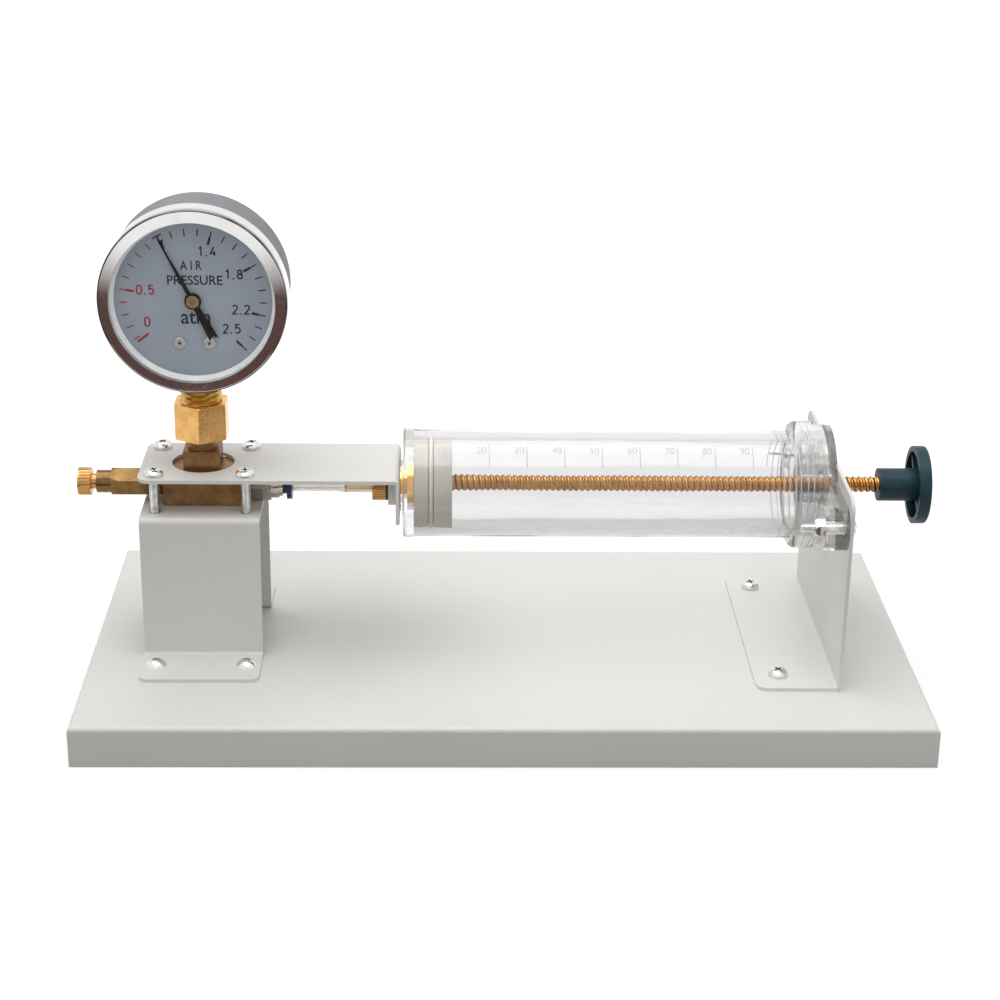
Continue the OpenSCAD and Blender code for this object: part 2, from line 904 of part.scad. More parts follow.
// A cup that takes the barrel's end, with a bored centre boss and two ears for the bracket's screws
module end_cap() {
    grip_r = cap_d / 2;
    neck_r = cap_neck_d / 2;
    bore_r = barrel_d / 2 + running;
    color(CLEAR)
        difference() {
            union() {
                turned_x()
                    union() {
                        translate([0, cap_left + cap_fillet])
                            square([grip_r, cap_shoulder - cap_left - cap_fillet]);
                        translate([0, cap_left])
                            square([grip_r - cap_fillet, cap_shoulder - cap_left]);
                        translate([grip_r - cap_fillet, cap_left + cap_fillet])
                            circle(cap_fillet);
                        translate([0, cap_shoulder - eps])
                            square([neck_r, cap_right - cap_shoulder + eps]);
                    }
                translate([cap_right - ear_t, 0, axis_z])
                    rotate([0, 90, 0])
                        linear_extrude(ear_t)
                            union() {
                                square([ear_h, ear_span - ear_h], center = true);
                                for (s = [-1, 1])
                                    translate([0, s * (ear_span - ear_h) / 2])
                                        circle(d = ear_h);
                            }
                for (s = [-1, 1])
                    translate([ear_boss_left, s * (ear_span - ear_h) / 2, axis_z])
                        rotate([0, 90, 0])
                            cylinder(h = cap_right - ear_boss_left, d = ear_h);
            }
            difference() {
                rod_x(cap_left - eps, cap_wall_left, 2 * bore_r);
                rod_x(cap_boss_left, cap_right, cap_boss_d);
            }
            rod_x(cap_boss_left - eps, cap_right + eps, screw_d + 2 * running);
            for (s = [-1, 1])
                translate([ear_boss_left - eps, s * ear_pitch / 2, axis_z])
                    rotate([0, 90, 0])
                        cylinder(h = cap_right - ear_boss_left + 2 * eps, r = m3_d / 2 + free_fit);
        }
}

module cap_screws() {
    color(STEEL)
        for (s = [-1, 1])
            translate([wall_out, s * ear_pitch / 2, axis_z])
                rotate([0, 90, 0])
                    pan_screw(m3_d, m3_head_d, m3_head_h, cap_screw_l);
}

module cap_nuts() {
    color(STEEL)
        for (s = [-1, 1])
            translate([ear_boss_left, s * ear_pitch / 2, axis_z])
                rotate([0, -90, 0])
                    nut_z(m3_nut_af, m3_nut_h, m3_d + 2 * running);
}

module rear_bracket() {
    bend_x = wall_out - bracket_bend;
    bend_z = base_h + bracket_bend;
    color(SHEET)
        difference() {
            union() {
                translate([bend_x, 0, base_h])
                    linear_extrude(sheet)
                        mirror([1, 0])
                            round_end(bend_x - foot_left, bracket_w, 4);
                translate([bend_x, 0, bend_z])
                    rotate([90, 0, 0])
                        linear_extrude(bracket_w, center = true)
                            rotate([0, 0, -90])
                                quarter_bend(bracket_bend);
                translate([wall_out, 0, bend_z])
                    rotate([0, -90, 0])
                        linear_extrude(sheet)
                            round_end(bracket_top - bend_z, bracket_w, 5);
            }
            rod_x(cap_right - eps, wall_out + eps, bracket_hole_d);
            for (s = [-1, 1]) {
                translate([cap_right - eps, s * ear_pitch / 2, axis_z])
                    rotate([0, 90, 0])
                        cylinder(h = sheet + 2 * eps, r = m3_d / 2 + free_fit);
                translate([foot_screw_x, s * foot_pitch / 2, base_h - eps])
                    cylinder(h = sheet + 2 * eps, r = m35_d / 2 + free_fit);
            }
        }
}

module bracket_screws() {
    color(STEEL)
        for (s = [-1, 1])
            translate([foot_screw_x, s * foot_pitch / 2, foot_top])
                pan_screw(m35_d, m35_head_d, m35_head_h, bracket_screw_l);
}

module bracket_nuts() {
    color(STEEL)
        for (s = [-1, 1])
            translate([foot_screw_x, s * foot_pitch / 2, tray_under])
                mirror([0, 0, 1])
                    nut_z(m35_nut_af, m35_nut_h, m35_d + 2 * running);
}

// ---- piston, screw, handwheel ----

module piston() {
    color(MILKY)
        difference() {
            rod_x(piston_left, piston_right, piston_d);
            difference() {
                rod_x(ring_x - ring_groove_w / 2, ring_x + ring_groove_w / 2, piston_d + eps);
                rod_x(ring_x - ring_groove_w, ring_x + ring_groove_w, 2 * ring_groove_r);
            }
            rod_x(collar_left - 0.2, retainer_left, collar_d + 4 * running);
            rod_x(retainer_left, piston_right + eps, retainer_d + 2 * running);
        }
}

module piston_ring() {
    color(BLACK)
        turned_x()
            translate([ring_mean_r, ring_x])
                circle(d = ring_section, $fn = 32);
}

// The screwed plug that keeps the lead screw's collar in the piston
module piston_retainer() {
    color(BRASS)
        difference() {
            rod_x(retainer_left, piston_right, retainer_d);
            rod_x(retainer_left - eps, piston_right + eps, screw_d + 2 * running + 0.1);
        }
}

module lead_screw() {
    color(BRASS)
        union() {
            rod_x(collar_left, collar_right, collar_d);
            rod_x(collar_right - eps, screw_right, screw_d);
        }
}

module handwheel() {
    rim_r = wheel_d / 2;
    ribs = 4;
    color([0.05, 0.25, 0.24])
        difference() {
            union() {
                rod_x(hub_left, wheel_right, hub_d);
                turned_x()
                    difference() {
                        union() {
                            translate([0, rim_left])
                                square([rim_r, wheel_right - rim_left - 0.8]);
                            translate([0, rim_left])
                                square([rim_r - 0.8, wheel_right - rim_left]);
                            translate([rim_r - 0.8, wheel_right - 0.8])
                                circle(0.8);
                        }
                        translate([0, rim_left - eps])
                            square([rim_r - rim_wall, wheel_right - web_t - rim_left + eps]);
                    }
                for (i = [0:ribs - 1])
                    translate([0, 0, axis_z])
                        rotate([45 + i * 360 / ribs, 0, 0])
                            translate([rim_left + 0.8, 0, -0.7])
                                cube([wheel_right - rim_left - 1.6, rim_r - 1, 1.4]);
            }
            rod_x(hub_left - eps, screw_right, screw_d + 2 * running);
        }
}

// ---- gauge ----

module gauge_socket() {
    color(BRASS)
        difference() {
            union() {
                translate([gauge_x, 0, stem_low])
                    cylinder(h = stem_top - stem_low, d = stem_d);
                translate([gauge_x - block_w / 2, block_front, block_low])
                    cube([block_w, block_back - block_front, block_top - block_low]);
            }
            translate([gauge_x, 0, stem_low - eps])
                cylinder(h = block_low - stem_low, d = air_d);
            // air way up to the curved tube, and the seat for its root
            translate([gauge_x, 0, stem_low])
                cylinder(h = gauge_z + passage_z + 1 - stem_low, d = air_d - 1);
            translate([gauge_x, bourdon_mid, gauge_z + passage_z])
                rotate([0, -90, 0])
                    cylinder(h = 5, d = 2);
            translate([gauge_x, 0, gauge_z + passage_z])
                rotate([-90, 0, 0])
                    cylinder(h = bourdon_mid, d = 2);
            bourdon_solid(root_angle + 1, 14, 0.04, 0);
            for (x = frame_screw_xs)
                rod_y(x, frame_screw_z, block_front - eps, block_front + 4, frame_screw_d + 2 * running);
        }
}

module gauge_case() {
    color([0.45, 0.46, 0.47])
        difference() {
            turned_gauge()
                difference() {
                    union() {
                        translate([0, case_front])
                            square([rim_r, bezel_back - case_front + eps]);
                        translate([0, bezel_back])
                            square([case_r, case_back - bezel_back - case_corner]);
                        translate([0, bezel_back])
                            square([case_r - case_corner, case_back - bezel_back]);
                        translate([case_r - case_corner, case_back - case_corner])
                            circle(case_corner);
                    }
                    translate([0, case_front - eps])
                        square([case_in_r, case_back - case_front - case_corner + eps]);
                    translate([0, case_front - eps])
                        square([case_in_r - inner_corner, case_back - case_front - case_wall + eps]);
                    translate([case_in_r - inner_corner, case_back - case_corner])
                        circle(inner_corner);
                    translate([-case_d, case_front - case_d])
                        square([case_d, 3 * case_d]);
                }
            translate([gauge_x, 0, gauge_z - case_r - 2])
                cylinder(h = 8, d = stem_d + 2 * running);
        }
}

module gauge_bezel() {
    tilt = 20;
    round_r = 0.7;
    lip_r = bezel_front_d / 2 - bezel_ring;
    corner_r = bezel_front_d / 2 - round_r;
    edge_r = corner_r + round_r * sin(tilt);
    edge_y = bezel_front + (edge_r - lip_r) * tan(tilt);
    corner_y = edge_y + round_r * cos(tilt);
    color([0.85, 0.85, 0.86])
        turned_gauge()
            difference() {
                union() {
                    polygon([[lip_r, bezel_front], [edge_r, edge_y], [corner_r, corner_y],
                        [bezel_front_d / 2, corner_y], [bezel_r, bezel_back], [lip_r, bezel_back]]);
                    translate([corner_r, corner_y])
                        circle(round_r);
                }
                translate([lip_r - eps, case_front])
                    square([bezel_in_r - lip_r + eps, bezel_depth]);
                translate([lip_r - eps, lens_front])
                    square([lens_d / 2 + running - lip_r + eps, lens_t + eps]);
            }
}

module gauge_lens() {
    color(CLEAR)
        rod_y(0, 0, lens_front, case_front, lens_d);
}

module dial_ring() {
    color(WHITE)
        turned_gauge()
            polygon([[cone_d / 2, dial_front], [dial_r, dial_front], [dial_r, case_front],
                [bezel_front_d / 2 - bezel_ring, case_front]]);
}

module gauge_dial() {
    color(WHITE)
        difference() {
            rod_y(0, 0, dial_front, dial_back, 2 * dial_r);
            rod_y(0, 0, dial_front - eps, dial_back + eps, 4 * spindle_r);
            for (p = dial_posts)
                rod_y(p[0], p[1], dial_front - eps, dial_back + eps, dial_screw_d + 2 * running);
        }
}

module dial_screws() {
    color(STEEL)
        for (p = dial_posts)
            difference() {
                union() {
                    rod_y(p[0], p[1], dial_front - dial_head_h, dial_front, dial_head_d);
                    rod_y(p[0], p[1], dial_front - 0.2, front_plate - 0.4, dial_screw_d);
                }
                translate([gauge_x + p[0] - 3, dial_front - dial_head_h - 1, gauge_z + p[1] - 0.25])
                    cube([6, 1.35, 0.5]);
            }
}

// The curved tube's flat-sided section, grown by g
module tube_section(g) {
    half = bourdon_t / 2 + g;
    flat = (bourdon_w - bourdon_t) / 2;
    translate([bourdon_r - half, -flat])
        square([2 * half, 2 * flat]);
    for (s = [-1, 1])
        translate([bourdon_r, s * flat])
            circle(half, $fn = 32);
}

// The curved tube's shape from angle a round clockwise, seen from the front, through a sweep
module bourdon_solid(a, sweep, g, inner) {
    translate([gauge_x, bourdon_mid, gauge_z])
        rotate([-90, 0, 0])
            rotate([0, 0, -a])
                rotate_extrude(angle = sweep, $fn = 128)
                    difference() {
                        tube_section(g);
                        if (inner > 0)
                            tube_section(-inner);
                    }
}

module bourdon_tube() {
    color(BRASS)
        bourdon_solid(root_angle, sweep_angle, 0, bourdon_wall);
}

// The plug that closes the curved tube, with the lug and pin that pull the link
module tube_tip() {
    lug_front = link_front + link_t + 0.25;
    lug_back = bourdon_mid - bourdon_w / 2;
    color(BRASS)
        union() {
            bourdon_solid(root_angle - sweep_angle, tip_angle, 0.35, 0);
            front_plate_at(lug_front, lug_back - 0.05 - lug_front)
                union() {
                    translate([lug_x, lug_z])
                        circle(lug_r);
                    translate([tip_pin_x, tail_z])
                        circle(1.5);
                    polygon([[lug_x - lug_r, lug_z], [lug_x + lug_r, lug_z], [tip_pin_x + 1.5, tail_z],
                        [tip_pin_x - 1.5, tail_z]]);
                }
            rod_y(tip_pin_x, tail_z, link_front - 0.2, lug_front + 0.5, 2 * link_pin_r);
            rod_y(tip_pin_x, tail_z, link_front - 0.6, link_front - 0.2, 2.4);
        }
}

module plate_outline(low) {
    circle(3.4);
    polygon([[-3.2, 1.2], [3.2, 1.2], [plate_half, plate_high], [plate_half, plate_mid], [plate_waist, plate_mid],
        [plate_waist, low], [-plate_waist, low], [-plate_waist, plate_mid], [-plate_half, plate_mid],
        [-plate_half, plate_high]]);
}

module movement_frame() {
    color(BRASS)
        difference() {
            union() {
                front_plate_at(front_plate, plate_t)
                    plate_outline(plate_mid - 0.1);
                front_plate_at(rear_plate, plate_t)
                    plate_outline(plate_low);
                for (p = pillars)
                    rod_y(p[0], p[1], front_plate + plate_t / 2, rear_plate + plate_t / 2, 2 * pillar_r);
                for (p = dial_posts)
                    rod_y(p[0], p[1], dial_back, front_plate + plate_t / 2, 2 * post_r);
            }
            for (p = dial_posts)
                rod_y(p[0], p[1], dial_back - eps, front_plate - 0.3, dial_screw_d + 2 * running);
            rod_y(0, 0, front_plate - eps, block_front + eps, 2 * (spindle_r + running));
            rod_y(0, -pivot_drop, front_plate - eps, block_front + eps, 2 * (pivot_r + running));
            for (x = frame_screw_xs)
                rod_y(x, frame_screw_z, rear_plate - eps, block_front + eps, frame_screw_d + 2 * running);
        }
}

module movement_screws() {
    color(STEEL)
        for (x = frame_screw_xs)
            union() {
                rod_y(x, frame_screw_z, rear_plate - 0.8, rear_plate, 2.8);
                rod_y(x, frame_screw_z, rear_plate - 0.2, block_front + 3.6, frame_screw_d);
            }
}

// Half rings joined end to end, with a stud to the front plate at the outer end
module hairspring() {
    out_r = spring_in + spring_halves * spring_step / 2 + spring_step / 2;
    color(BRASS)
        union() {
            front_plate_at(spring_front, spring_h)
                for (i = [0:spring_halves]) {
                    side = i % 2 == 0 ? 1 : -1;
                    r = spring_in + i * spring_step / 2;
                    translate([side * spring_step / 4 - spring_step / 4, 0])
                        intersection() {
                            difference() {
                                circle(r + spring_t / 2);
                                circle(r - spring_t / 2);
                            }
                            translate([-2 * r, side > 0 ? 0 : -2 * r])
                                square([4 * r, 2 * r]);
                        }
                }
            translate([gauge_x + out_r - spring_step, front_plate + plate_t, gauge_z - 0.9])
                cube([0.5, spring_front + spring_h - front_plate - plate_t, 0.9]);
        }
}

module link() {
    mid_z = tail_z - 0.15;
    pad = slot_half + 0.8;
    color(BRASS)
        front_plate_at(link_front, link_t)
            difference() {
                union() {
                    translate([0, tail_z])
                        circle(1.2);
                    translate([0, tail_z - 0.6])
                        square([slot_x[0], 1.2]);
                    translate([slot_x[0], mid_z])
                        circle(pad);
                    translate([slot_x[1], mid_z])
                        circle(pad);
                    translate([slot_x[0], mid_z - pad])
                        square([slot_x[1] - slot_x[0], 2 * pad]);
                }
                translate([0, tail_z])
                    circle(link_pin_r + running);
                translate([slot_x[0], mid_z])
                    circle(slot_half);
                translate([slot_x[1], mid_z])
                    circle(slot_half);
                translate([slot_x[0], mid_z - slot_half])
                    square([slot_x[1] - slot_x[0], 2 * slot_half]);
            }
}

// ---- involute teeth ----

function inv(a) = tan(a) * 180 / PI - a;

// Half the angle that a tooth takes up at radius r, for pitch radius rp
function half_angle(r, rp) =
    (PI * gear_module / 2 - backlash / 2) / (2 * rp) * 180 / PI
    + inv(pressure_angle) - inv(acos(min(1, rp * cos(pressure_angle) / r)));

// One side of a tooth that points along +y, from the root out, with side s = -1 or 1
function flank(rp, root_r, tip_r, s) =
    let (base_r = rp * cos(pressure_angle), from = max(base_r, root_r))
    concat(
        [[s * (root_r - 0.1) * sin(half_angle(from, rp)), (root_r - 0.1) * cos(half_angle(from, rp))]],
        [for (i = [0:flank_steps])
            let (r = from + (tip_r - from) * i / flank_steps, a = half_angle(r, rp))
            [s * r * sin(a), r * cos(a)]]);

function flip(list) = [for (i = [len(list) - 1:-1:0]) list[i]];

module tooth(rp, root_r, tip_r) {
    polygon(concat(flank(rp, root_r, tip_r, -1), flip(flank(rp, root_r, tip_r, 1))));
}

module sector_gear() {
    tooth_step = 360 / sector_wheel;
    first = -(sector_teeth - 2) / 2;
    root_r = pitch_s - dedendum * gear_module;
    lead_in = (first - 0.6) * tooth_step;
    run_out = (first + sector_teeth - 0.4) * tooth_step;
    reach = 2 * pitch_s;
    color(BRASS)
        union() {
            translate([0, 0, -pivot_drop])
                front_plate_at(sector_front, sector_t)
                    union() {
                        difference() {
                            intersection() {
                                circle(root_r, $fn = 128);
                                polygon([[0, 0], [reach * sin(lead_in), reach * cos(lead_in)], [0, reach],
                                    [reach * sin(run_out), reach * cos(run_out)]]);
                            }
                            intersection() {
                                difference() {
                                    circle(root_r - 2, $fn = 128);
                                    circle(4.5);
                                }
                                polygon([[0, 0], [reach * sin(lead_in + 11), reach * cos(lead_in + 11)], [0, reach],
                                    [reach * sin(run_out - 11), reach * cos(run_out - 11)]]);
                            }
                        }
                        for (k = [first:first + sector_teeth - 1])
                            rotate(-k * tooth_step)
                                tooth(pitch_s, root_r, pitch_s + addendum_s * gear_module);
                        circle(2);
                        circle(1.1);
                        translate([-1.1, -tail_l])
                            square([2.2, tail_l]);
                        translate([0, -tail_l])
                            circle(1.1);
                    }
            rod_y(0, -pivot_drop, front_plate - 0.1, block_front + 0.1, 2 * pivot_r);
            rod_y(0, tail_z, sector_front + sector_t - 0.2, link_front + link_t + 0.12, 2 * link_pin_r);
            rod_y(0, tail_z, link_front + link_t + 0.12, link_front + link_t + 0.35, 1.8);
        }
}

module pointer_spindle() {
    root_r = pitch_p - dedendum * gear_module;
    color(BRASS)
        union() {
            front_plate_at(pinion_front, pinion_w)
                union() {
                    circle(root_r);
                    for (k = [0:pinion_teeth - 1])
                        rotate((k + 0.5) * 360 / pinion_teeth)
                            tooth(pitch_p, root_r, pitch_p + addendum_p * gear_module);
                }
            rod_y(0, 0, pointer_y - eps, block_front + 0.1, 2 * spindle_r);
            difference() {
                rod_y(0, 0, hub_cap_front, pointer_y - hub_rise, hub_cap_d);
                rod_y(0, 0, hub_cap_front - eps, hub_cap_front + 0.3, 1.6);
            }
        }
}

module pointer() {
    tail = 14.3;
    color(BLACK)
        difference() {
            union() {
                rod_y(0, 0, pointer_y - hub_rise, pointer_y + pointer_t + hub_rise, pointer_hub_d);
                front_plate_at(pointer_y, pointer_t)
                    rotate(pointer_rest)
                        polygon([[-0.16, pointer_l], [0.16, pointer_l], [0.7, 2], [1, -2], [1.55, -tail],
                            [0, -tail + 1.2], [-1.55, -tail], [-1, -2], [-0.7, 2]]);
            }
            rod_y(0, 0, pointer_y - 1, pointer_y + 2, 2 * spindle_r + 0.04);
        }
}

base_tray();
pedestal();
pedestal_screws();
pedestal_nuts();
clamp_strap();
strap_screws();
strap_nuts();
manifold();
gauge_adapter();
gauge_socket();
gauge_case();
gauge_bezel();
gauge_lens();
gauge_dial();
dial_ring();
dial_screws();
bourdon_tube();
tube_tip();
movement_frame();
hairspring();
movement_screws();
link();
sector_gear();
pointer_spindle();
pointer();
valve_body();
valve_pad();
bleed_screw();
fitting_body();
tube_seal();
release_ring();
link_tube();
port_nipple();
port_nut();
port_gasket();
outer_washer();
inner_washer();
barrel();
end_cap();
cap_screws();
cap_nuts();
rear_bracket();
bracket_screws();
bracket_nuts();
piston();
piston_ring();
piston_retainer();
lead_screw();
handwheel();
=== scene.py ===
"""Looks of a bench Boyle's law apparatus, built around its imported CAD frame.

Lengths are in millimetres until they reach a mesh. The frame is the CAD's: +X towards the handwheel,
+Y to the back, +Z up, with the origin at the centre of the base's underside."""

from math import cos, pi, radians, sin

import bmesh
import bpy
from mathutils import Matrix, Vector


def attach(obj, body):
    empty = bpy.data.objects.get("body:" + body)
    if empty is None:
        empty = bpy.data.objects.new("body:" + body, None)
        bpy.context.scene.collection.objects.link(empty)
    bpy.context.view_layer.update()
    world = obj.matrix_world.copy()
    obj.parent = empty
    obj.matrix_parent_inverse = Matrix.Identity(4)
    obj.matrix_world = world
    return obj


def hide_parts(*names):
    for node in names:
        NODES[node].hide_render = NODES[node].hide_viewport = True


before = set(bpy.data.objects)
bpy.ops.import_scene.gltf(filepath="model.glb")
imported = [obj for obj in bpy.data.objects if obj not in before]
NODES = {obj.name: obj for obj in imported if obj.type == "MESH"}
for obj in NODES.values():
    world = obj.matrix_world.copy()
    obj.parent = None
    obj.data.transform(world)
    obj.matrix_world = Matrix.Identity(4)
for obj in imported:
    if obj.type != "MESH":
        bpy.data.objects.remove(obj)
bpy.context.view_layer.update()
MM = 0.001

# Places and sizes that the frame's source gives
AXIS_Z = 70.1
GAUGE_X = -101.5
GAUGE_Z = 137.5
DIAL_FRONT = -11.3
STRAP_TOP = 77.4
FOOT_TOP = 15.2
WALL_OUT = 112.2


# ---------------------------------------------------------------- materials

def combined(tree, kind, first, second):
    """Two number sockets joined by a Math node of this kind."""
    node = tree.nodes.new("ShaderNodeMath")
    node.operation = kind
    tree.links.new(first, node.inputs[0])
    tree.links.new(second, node.inputs[1])
    return node.outputs["Value"]


def fitted(tree, value, low, high, out_low, out_high):
    """A socket's value carried from low..high to out_low..out_high, and held at both ends."""
    node = tree.nodes.new("ShaderNodeMapRange")
    tree.links.new(value, node.inputs["Value"])
    for key, number in (("From Min", low), ("From Max", high), ("To Min", out_low), ("To Max", out_high)):
        node.inputs[key].default_value = number
    return node.outputs["Result"]


def light_path(tree, *kinds):
    """A socket that is 1 for rays of these kinds."""
    node = tree.nodes.new("ShaderNodeLightPath")
    total = node.outputs[kinds[0]]
    for kind in kinds[1:]:
        total = combined(tree, "MAXIMUM", total, node.outputs[kind])
    return total


class Surface:
    """A node material round one Principled shader, with short calls for procedural detail."""

    def __init__(self, name, colour, roughness, metallic=0.0, **more):
        self.mat = bpy.data.materials.new(name)
        self.mat.use_nodes = True
        self.tree = self.mat.node_tree
        self.bsdf = self.tree.nodes["Principled BSDF"]
        self.set("Base Color", (*colour, 1))
        self.set("Roughness", roughness)
        self.set("Metallic", metallic)
        for key, value in more.items():
            self.set(key.replace("_", " ").title().replace("Ior", "IOR"), value)
        self.coord = self.tree.nodes.new("ShaderNodeTexCoord").outputs["Object"]

    def set(self, socket, value):
        self.bsdf.inputs[socket].default_value = value

    def join(self, source, socket):
        self.tree.links.new(source, socket)

    def feed(self, source, socket):
        self.join(source, self.bsdf.inputs[socket])

    def mapped(self, scale, move=(0, 0, 0)):
        """The object's coordinates, scaled and then moved, in metres."""
        node = self.tree.nodes.new("ShaderNodeMapping")
        self.join(self.coord, node.inputs["Vector"])
        node.inputs["Scale"].default_value = scale
        node.inputs["Location"].default_value = move
        return node.outputs["Vector"]

    def noise(self, per_mm, detail, roughness=0.5, stretch=(1, 1, 1)):
        """Noise with about per_mm features in a millimetre."""
        node = self.tree.nodes.new("ShaderNodeTexNoise")
        self.join(self.mapped(stretch), node.inputs["Vector"])
        node.inputs["Scale"].default_value = per_mm / MM
        node.inputs["Detail"].default_value = detail
        node.inputs["Roughness"].default_value = roughness
        return node.outputs["Fac"]

    def fit(self, value, low, high, out_low, out_high):
        """The value carried from low..high to out_low..out_high, and held at both ends."""
        return fitted(self.tree, value, low, high, out_low, out_high)

    def blend(self, factor, first, second):
        """A colour between two, each an (r, g, b) or a socket."""
        node = self.tree.nodes.new("ShaderNodeMix")
        node.data_type = "RGBA"
        self.join(factor, node.inputs["Factor"])
        for key, value in (("A", first), ("B", second)):
            socket = next(s for s in node.inputs if s.name == key and s.type == "RGBA")
            if isinstance(value, tuple):
                socket.default_value = (*value, 1)
            else:
                self.join(value, socket)
        return next(s for s in node.outputs if s.type == "RGBA")

    def clouds(self, per_mm, first, second, detail=4, high=0.65):
        """Base colour that drifts between two."""
        share = self.fit(self.noise(per_mm, detail), 0.35, high, 0, 1)
        self.feed(self.blend(share, first, second), "Base Color")

    def gloss(self, per_mm, low, high, detail=3):
        """Roughness that drifts between two values."""
        self.feed(self.fit(self.noise(per_mm, detail), 0.3, 0.7, low, high), "Roughness")

    def bump(self, height, depth_mm, strength=1.0):
        """Adds a bump of this height, on top of any that is there."""
        node = self.tree.nodes.new("ShaderNodeBump")
        node.inputs["Strength"].default_value = strength
        node.inputs["Distance"].default_value = depth_mm * MM
        self.join(height, node.inputs["Height"])
        normal = self.bsdf.inputs["Normal"]
        if normal.links:
            self.join(normal.links[0].from_socket, node.inputs["Normal"])
        self.feed(node.outputs["Normal"], "Normal")

    def lets_light_in(self, share, *kinds):
        """Shadow rays, and rays of these kinds, pass this share of the light, so that what stands inside a
        clear piece is lit."""
        out = self.tree.nodes["Material Output"]
        clear = self.tree.nodes.new("ShaderNodeBsdfTransparent")
        clear.inputs["Color"].default_value = (share, share, share, 1)
        mix = self.tree.nodes.new("ShaderNodeMixShader")
        self.join(light_path(self.tree, "Is Shadow Ray", *kinds), mix.inputs["Fac"])
        self.join(self.bsdf.outputs["BSDF"], mix.inputs[1])
        self.join(clear.outputs["BSDF"], mix.inputs[2])
        self.join(mix.outputs["Shader"], out.inputs["Surface"])


def painted_sheet():
    """Warm grey powder coat: fine orange peel, faint clouding and specks."""
    s = Surface("powder_coat", (0.70, 0.69, 0.655), 0.42)
    cloud = s.noise(0.012, 4)
    speck = s.noise(1.3, 2)
    base = s.blend(s.fit(cloud, 0.35, 0.65, 0, 1), (0.705, 0.69, 0.652), (0.735, 0.722, 0.69))
    base = s.blend(s.fit(speck, 0.66, 0.76, 0, 0.35), base, (0.60, 0.59, 0.56))
    s.feed(base, "Base Color")
    s.gloss(0.25, 0.36, 0.50)
    s.bump(s.noise(1.0, 2), 0.012, 0.6)
    s.bump(s.noise(0.09, 2), 0.05, 0.5)
    return s.mat


def zinc():
    """Bright zinc: faint cloudy passivation over fine turned marks."""
    s = Surface("zinc_plate", (0.78, 0.79, 0.80), 0.24, 0.95)
    s.clouds(0.6, (0.66, 0.68, 0.71), (0.86, 0.85, 0.82), 3)
    s.gloss(2.0, 0.09, 0.2)
    s.bump(s.noise(3.0, 2), 0.01, 0.5)
    return s.mat


def brass(name, light, dark, rough=(0.16, 0.34), scratch=(1, 1, 14), marks=0.5):
    """Machined brass: turned scratches, darker tarnish in clouds and small pits."""
    s = Surface(name, light, sum(rough) / 2, 1.0)
    cloud = s.noise(0.22, 5, 0.6)
    lines = s.noise(0.9, 4, 0.65, scratch)
    pits = s.noise(2.2, 2)
    base = s.blend(s.fit(cloud, 0.38, 0.70, 0, 1), light, dark)
    base = s.blend(s.fit(lines, 0.60, 0.74, 0, marks), base, tuple(0.45 * c for c in dark))
    base = s.blend(s.fit(pits, 0.68, 0.76, 0, 0.5), base, tuple(0.35 * c for c in dark))
    s.feed(base, "Base Color")
    s.feed(s.fit(lines, 0.3, 0.75, *rough), "Roughness")
    s.bump(lines, 0.02, 0.5)
    s.bump(pits, 0.012, 0.4)
    return s.mat


def chrome(name, colour, rough):
    """Bright plate with a faint haze and slight unevenness from polishing."""
    s = Surface(name, colour, rough, 1.0)
    s.clouds(0.12, colour, tuple(0.9 * c for c in colour), high=0.7)
    s.gloss(0.8, 0.6 * rough, 1.5 * rough)
    s.bump(s.noise(0.35, 2), 0.006, 0.25)
    return s.mat


def rolled_rim(name, colour, rough, centre, edge_r, shade_band_w, ring_w, flatten):
    """Bright plate round local Y, in millimetres. A patchy band of painted shade lies where the front edge is
    rolled, and the front ring inside it is shaded flatter than its cone, by the slope that flatten gives."""
    s = Surface(name, colour, rough, 1.0)
    haze = s.noise(0.12, 4)
    base = s.blend(s.fit(haze, 0.35, 0.7, 0, 1), colour, tuple(0.9 * c for c in colour))
    length = s.tree.nodes.new("ShaderNodeVectorMath")
    length.operation = "LENGTH"
    s.join(s.mapped((1, 0, 1), move=(-centre.x, 0, -centre.z)), length.inputs[0])
    radius = length.outputs["Value"]
    inner = s.fit(radius, (edge_r - shade_band_w) * MM, (edge_r - 0.5 * shade_band_w) * MM, 0, 1)
    outer = s.fit(radius, (edge_r + 0.5 * shade_band_w) * MM, (edge_r + shade_band_w) * MM, 1, 0)
    shade_patches = s.fit(s.noise(0.08, 3), 0.3, 0.6, 0.75, 1.0)
    # Painted shade: a patchy near-black band in the crease of the rolled front edge
    crease_shade = combined(s.tree, "MULTIPLY", combined(s.tree, "MULTIPLY", inner, outer), shade_patches)
    s.feed(s.blend(crease_shade, base, (0.035, 0.025, 0.03)), "Base Color")
    s.gloss(0.8, 0.6 * rough, 1.5 * rough)
    rise = s.fit(radius, (edge_r - ring_w) * MM, (edge_r - shade_band_w) * MM, 0, 1)
    s.bump(rise, (ring_w - shade_band_w) * flatten)
    s.bump(s.noise(0.35, 2), 0.006, 0.25)
    return s.mat


def lacquer():
    """Grey lacquered steel of the gauge's can."""
    s = Surface("case_lacquer", (0.22, 0.215, 0.23), 0.5, 0.0, specular_ior_level=0.22)
    s.clouds(0.06, (0.20, 0.195, 0.21), (0.235, 0.23, 0.245))
    s.gloss(0.2, 0.46, 0.56)
    s.bump(s.noise(0.5, 2), 0.004, 0.4)
    return s.mat


def enamel(name, first, second, rough, shine=0.5):
    """Printed or painted matt surface with a faint tooth."""
    s = Surface(name, first, rough, specular_ior_level=shine)
    s.clouds(0.08, first, second)
    s.gloss(1.5, rough - 0.06, rough + 0.08, 2)
    s.bump(s.noise(2.5, 2), 0.006, 0.5)
    return s.mat


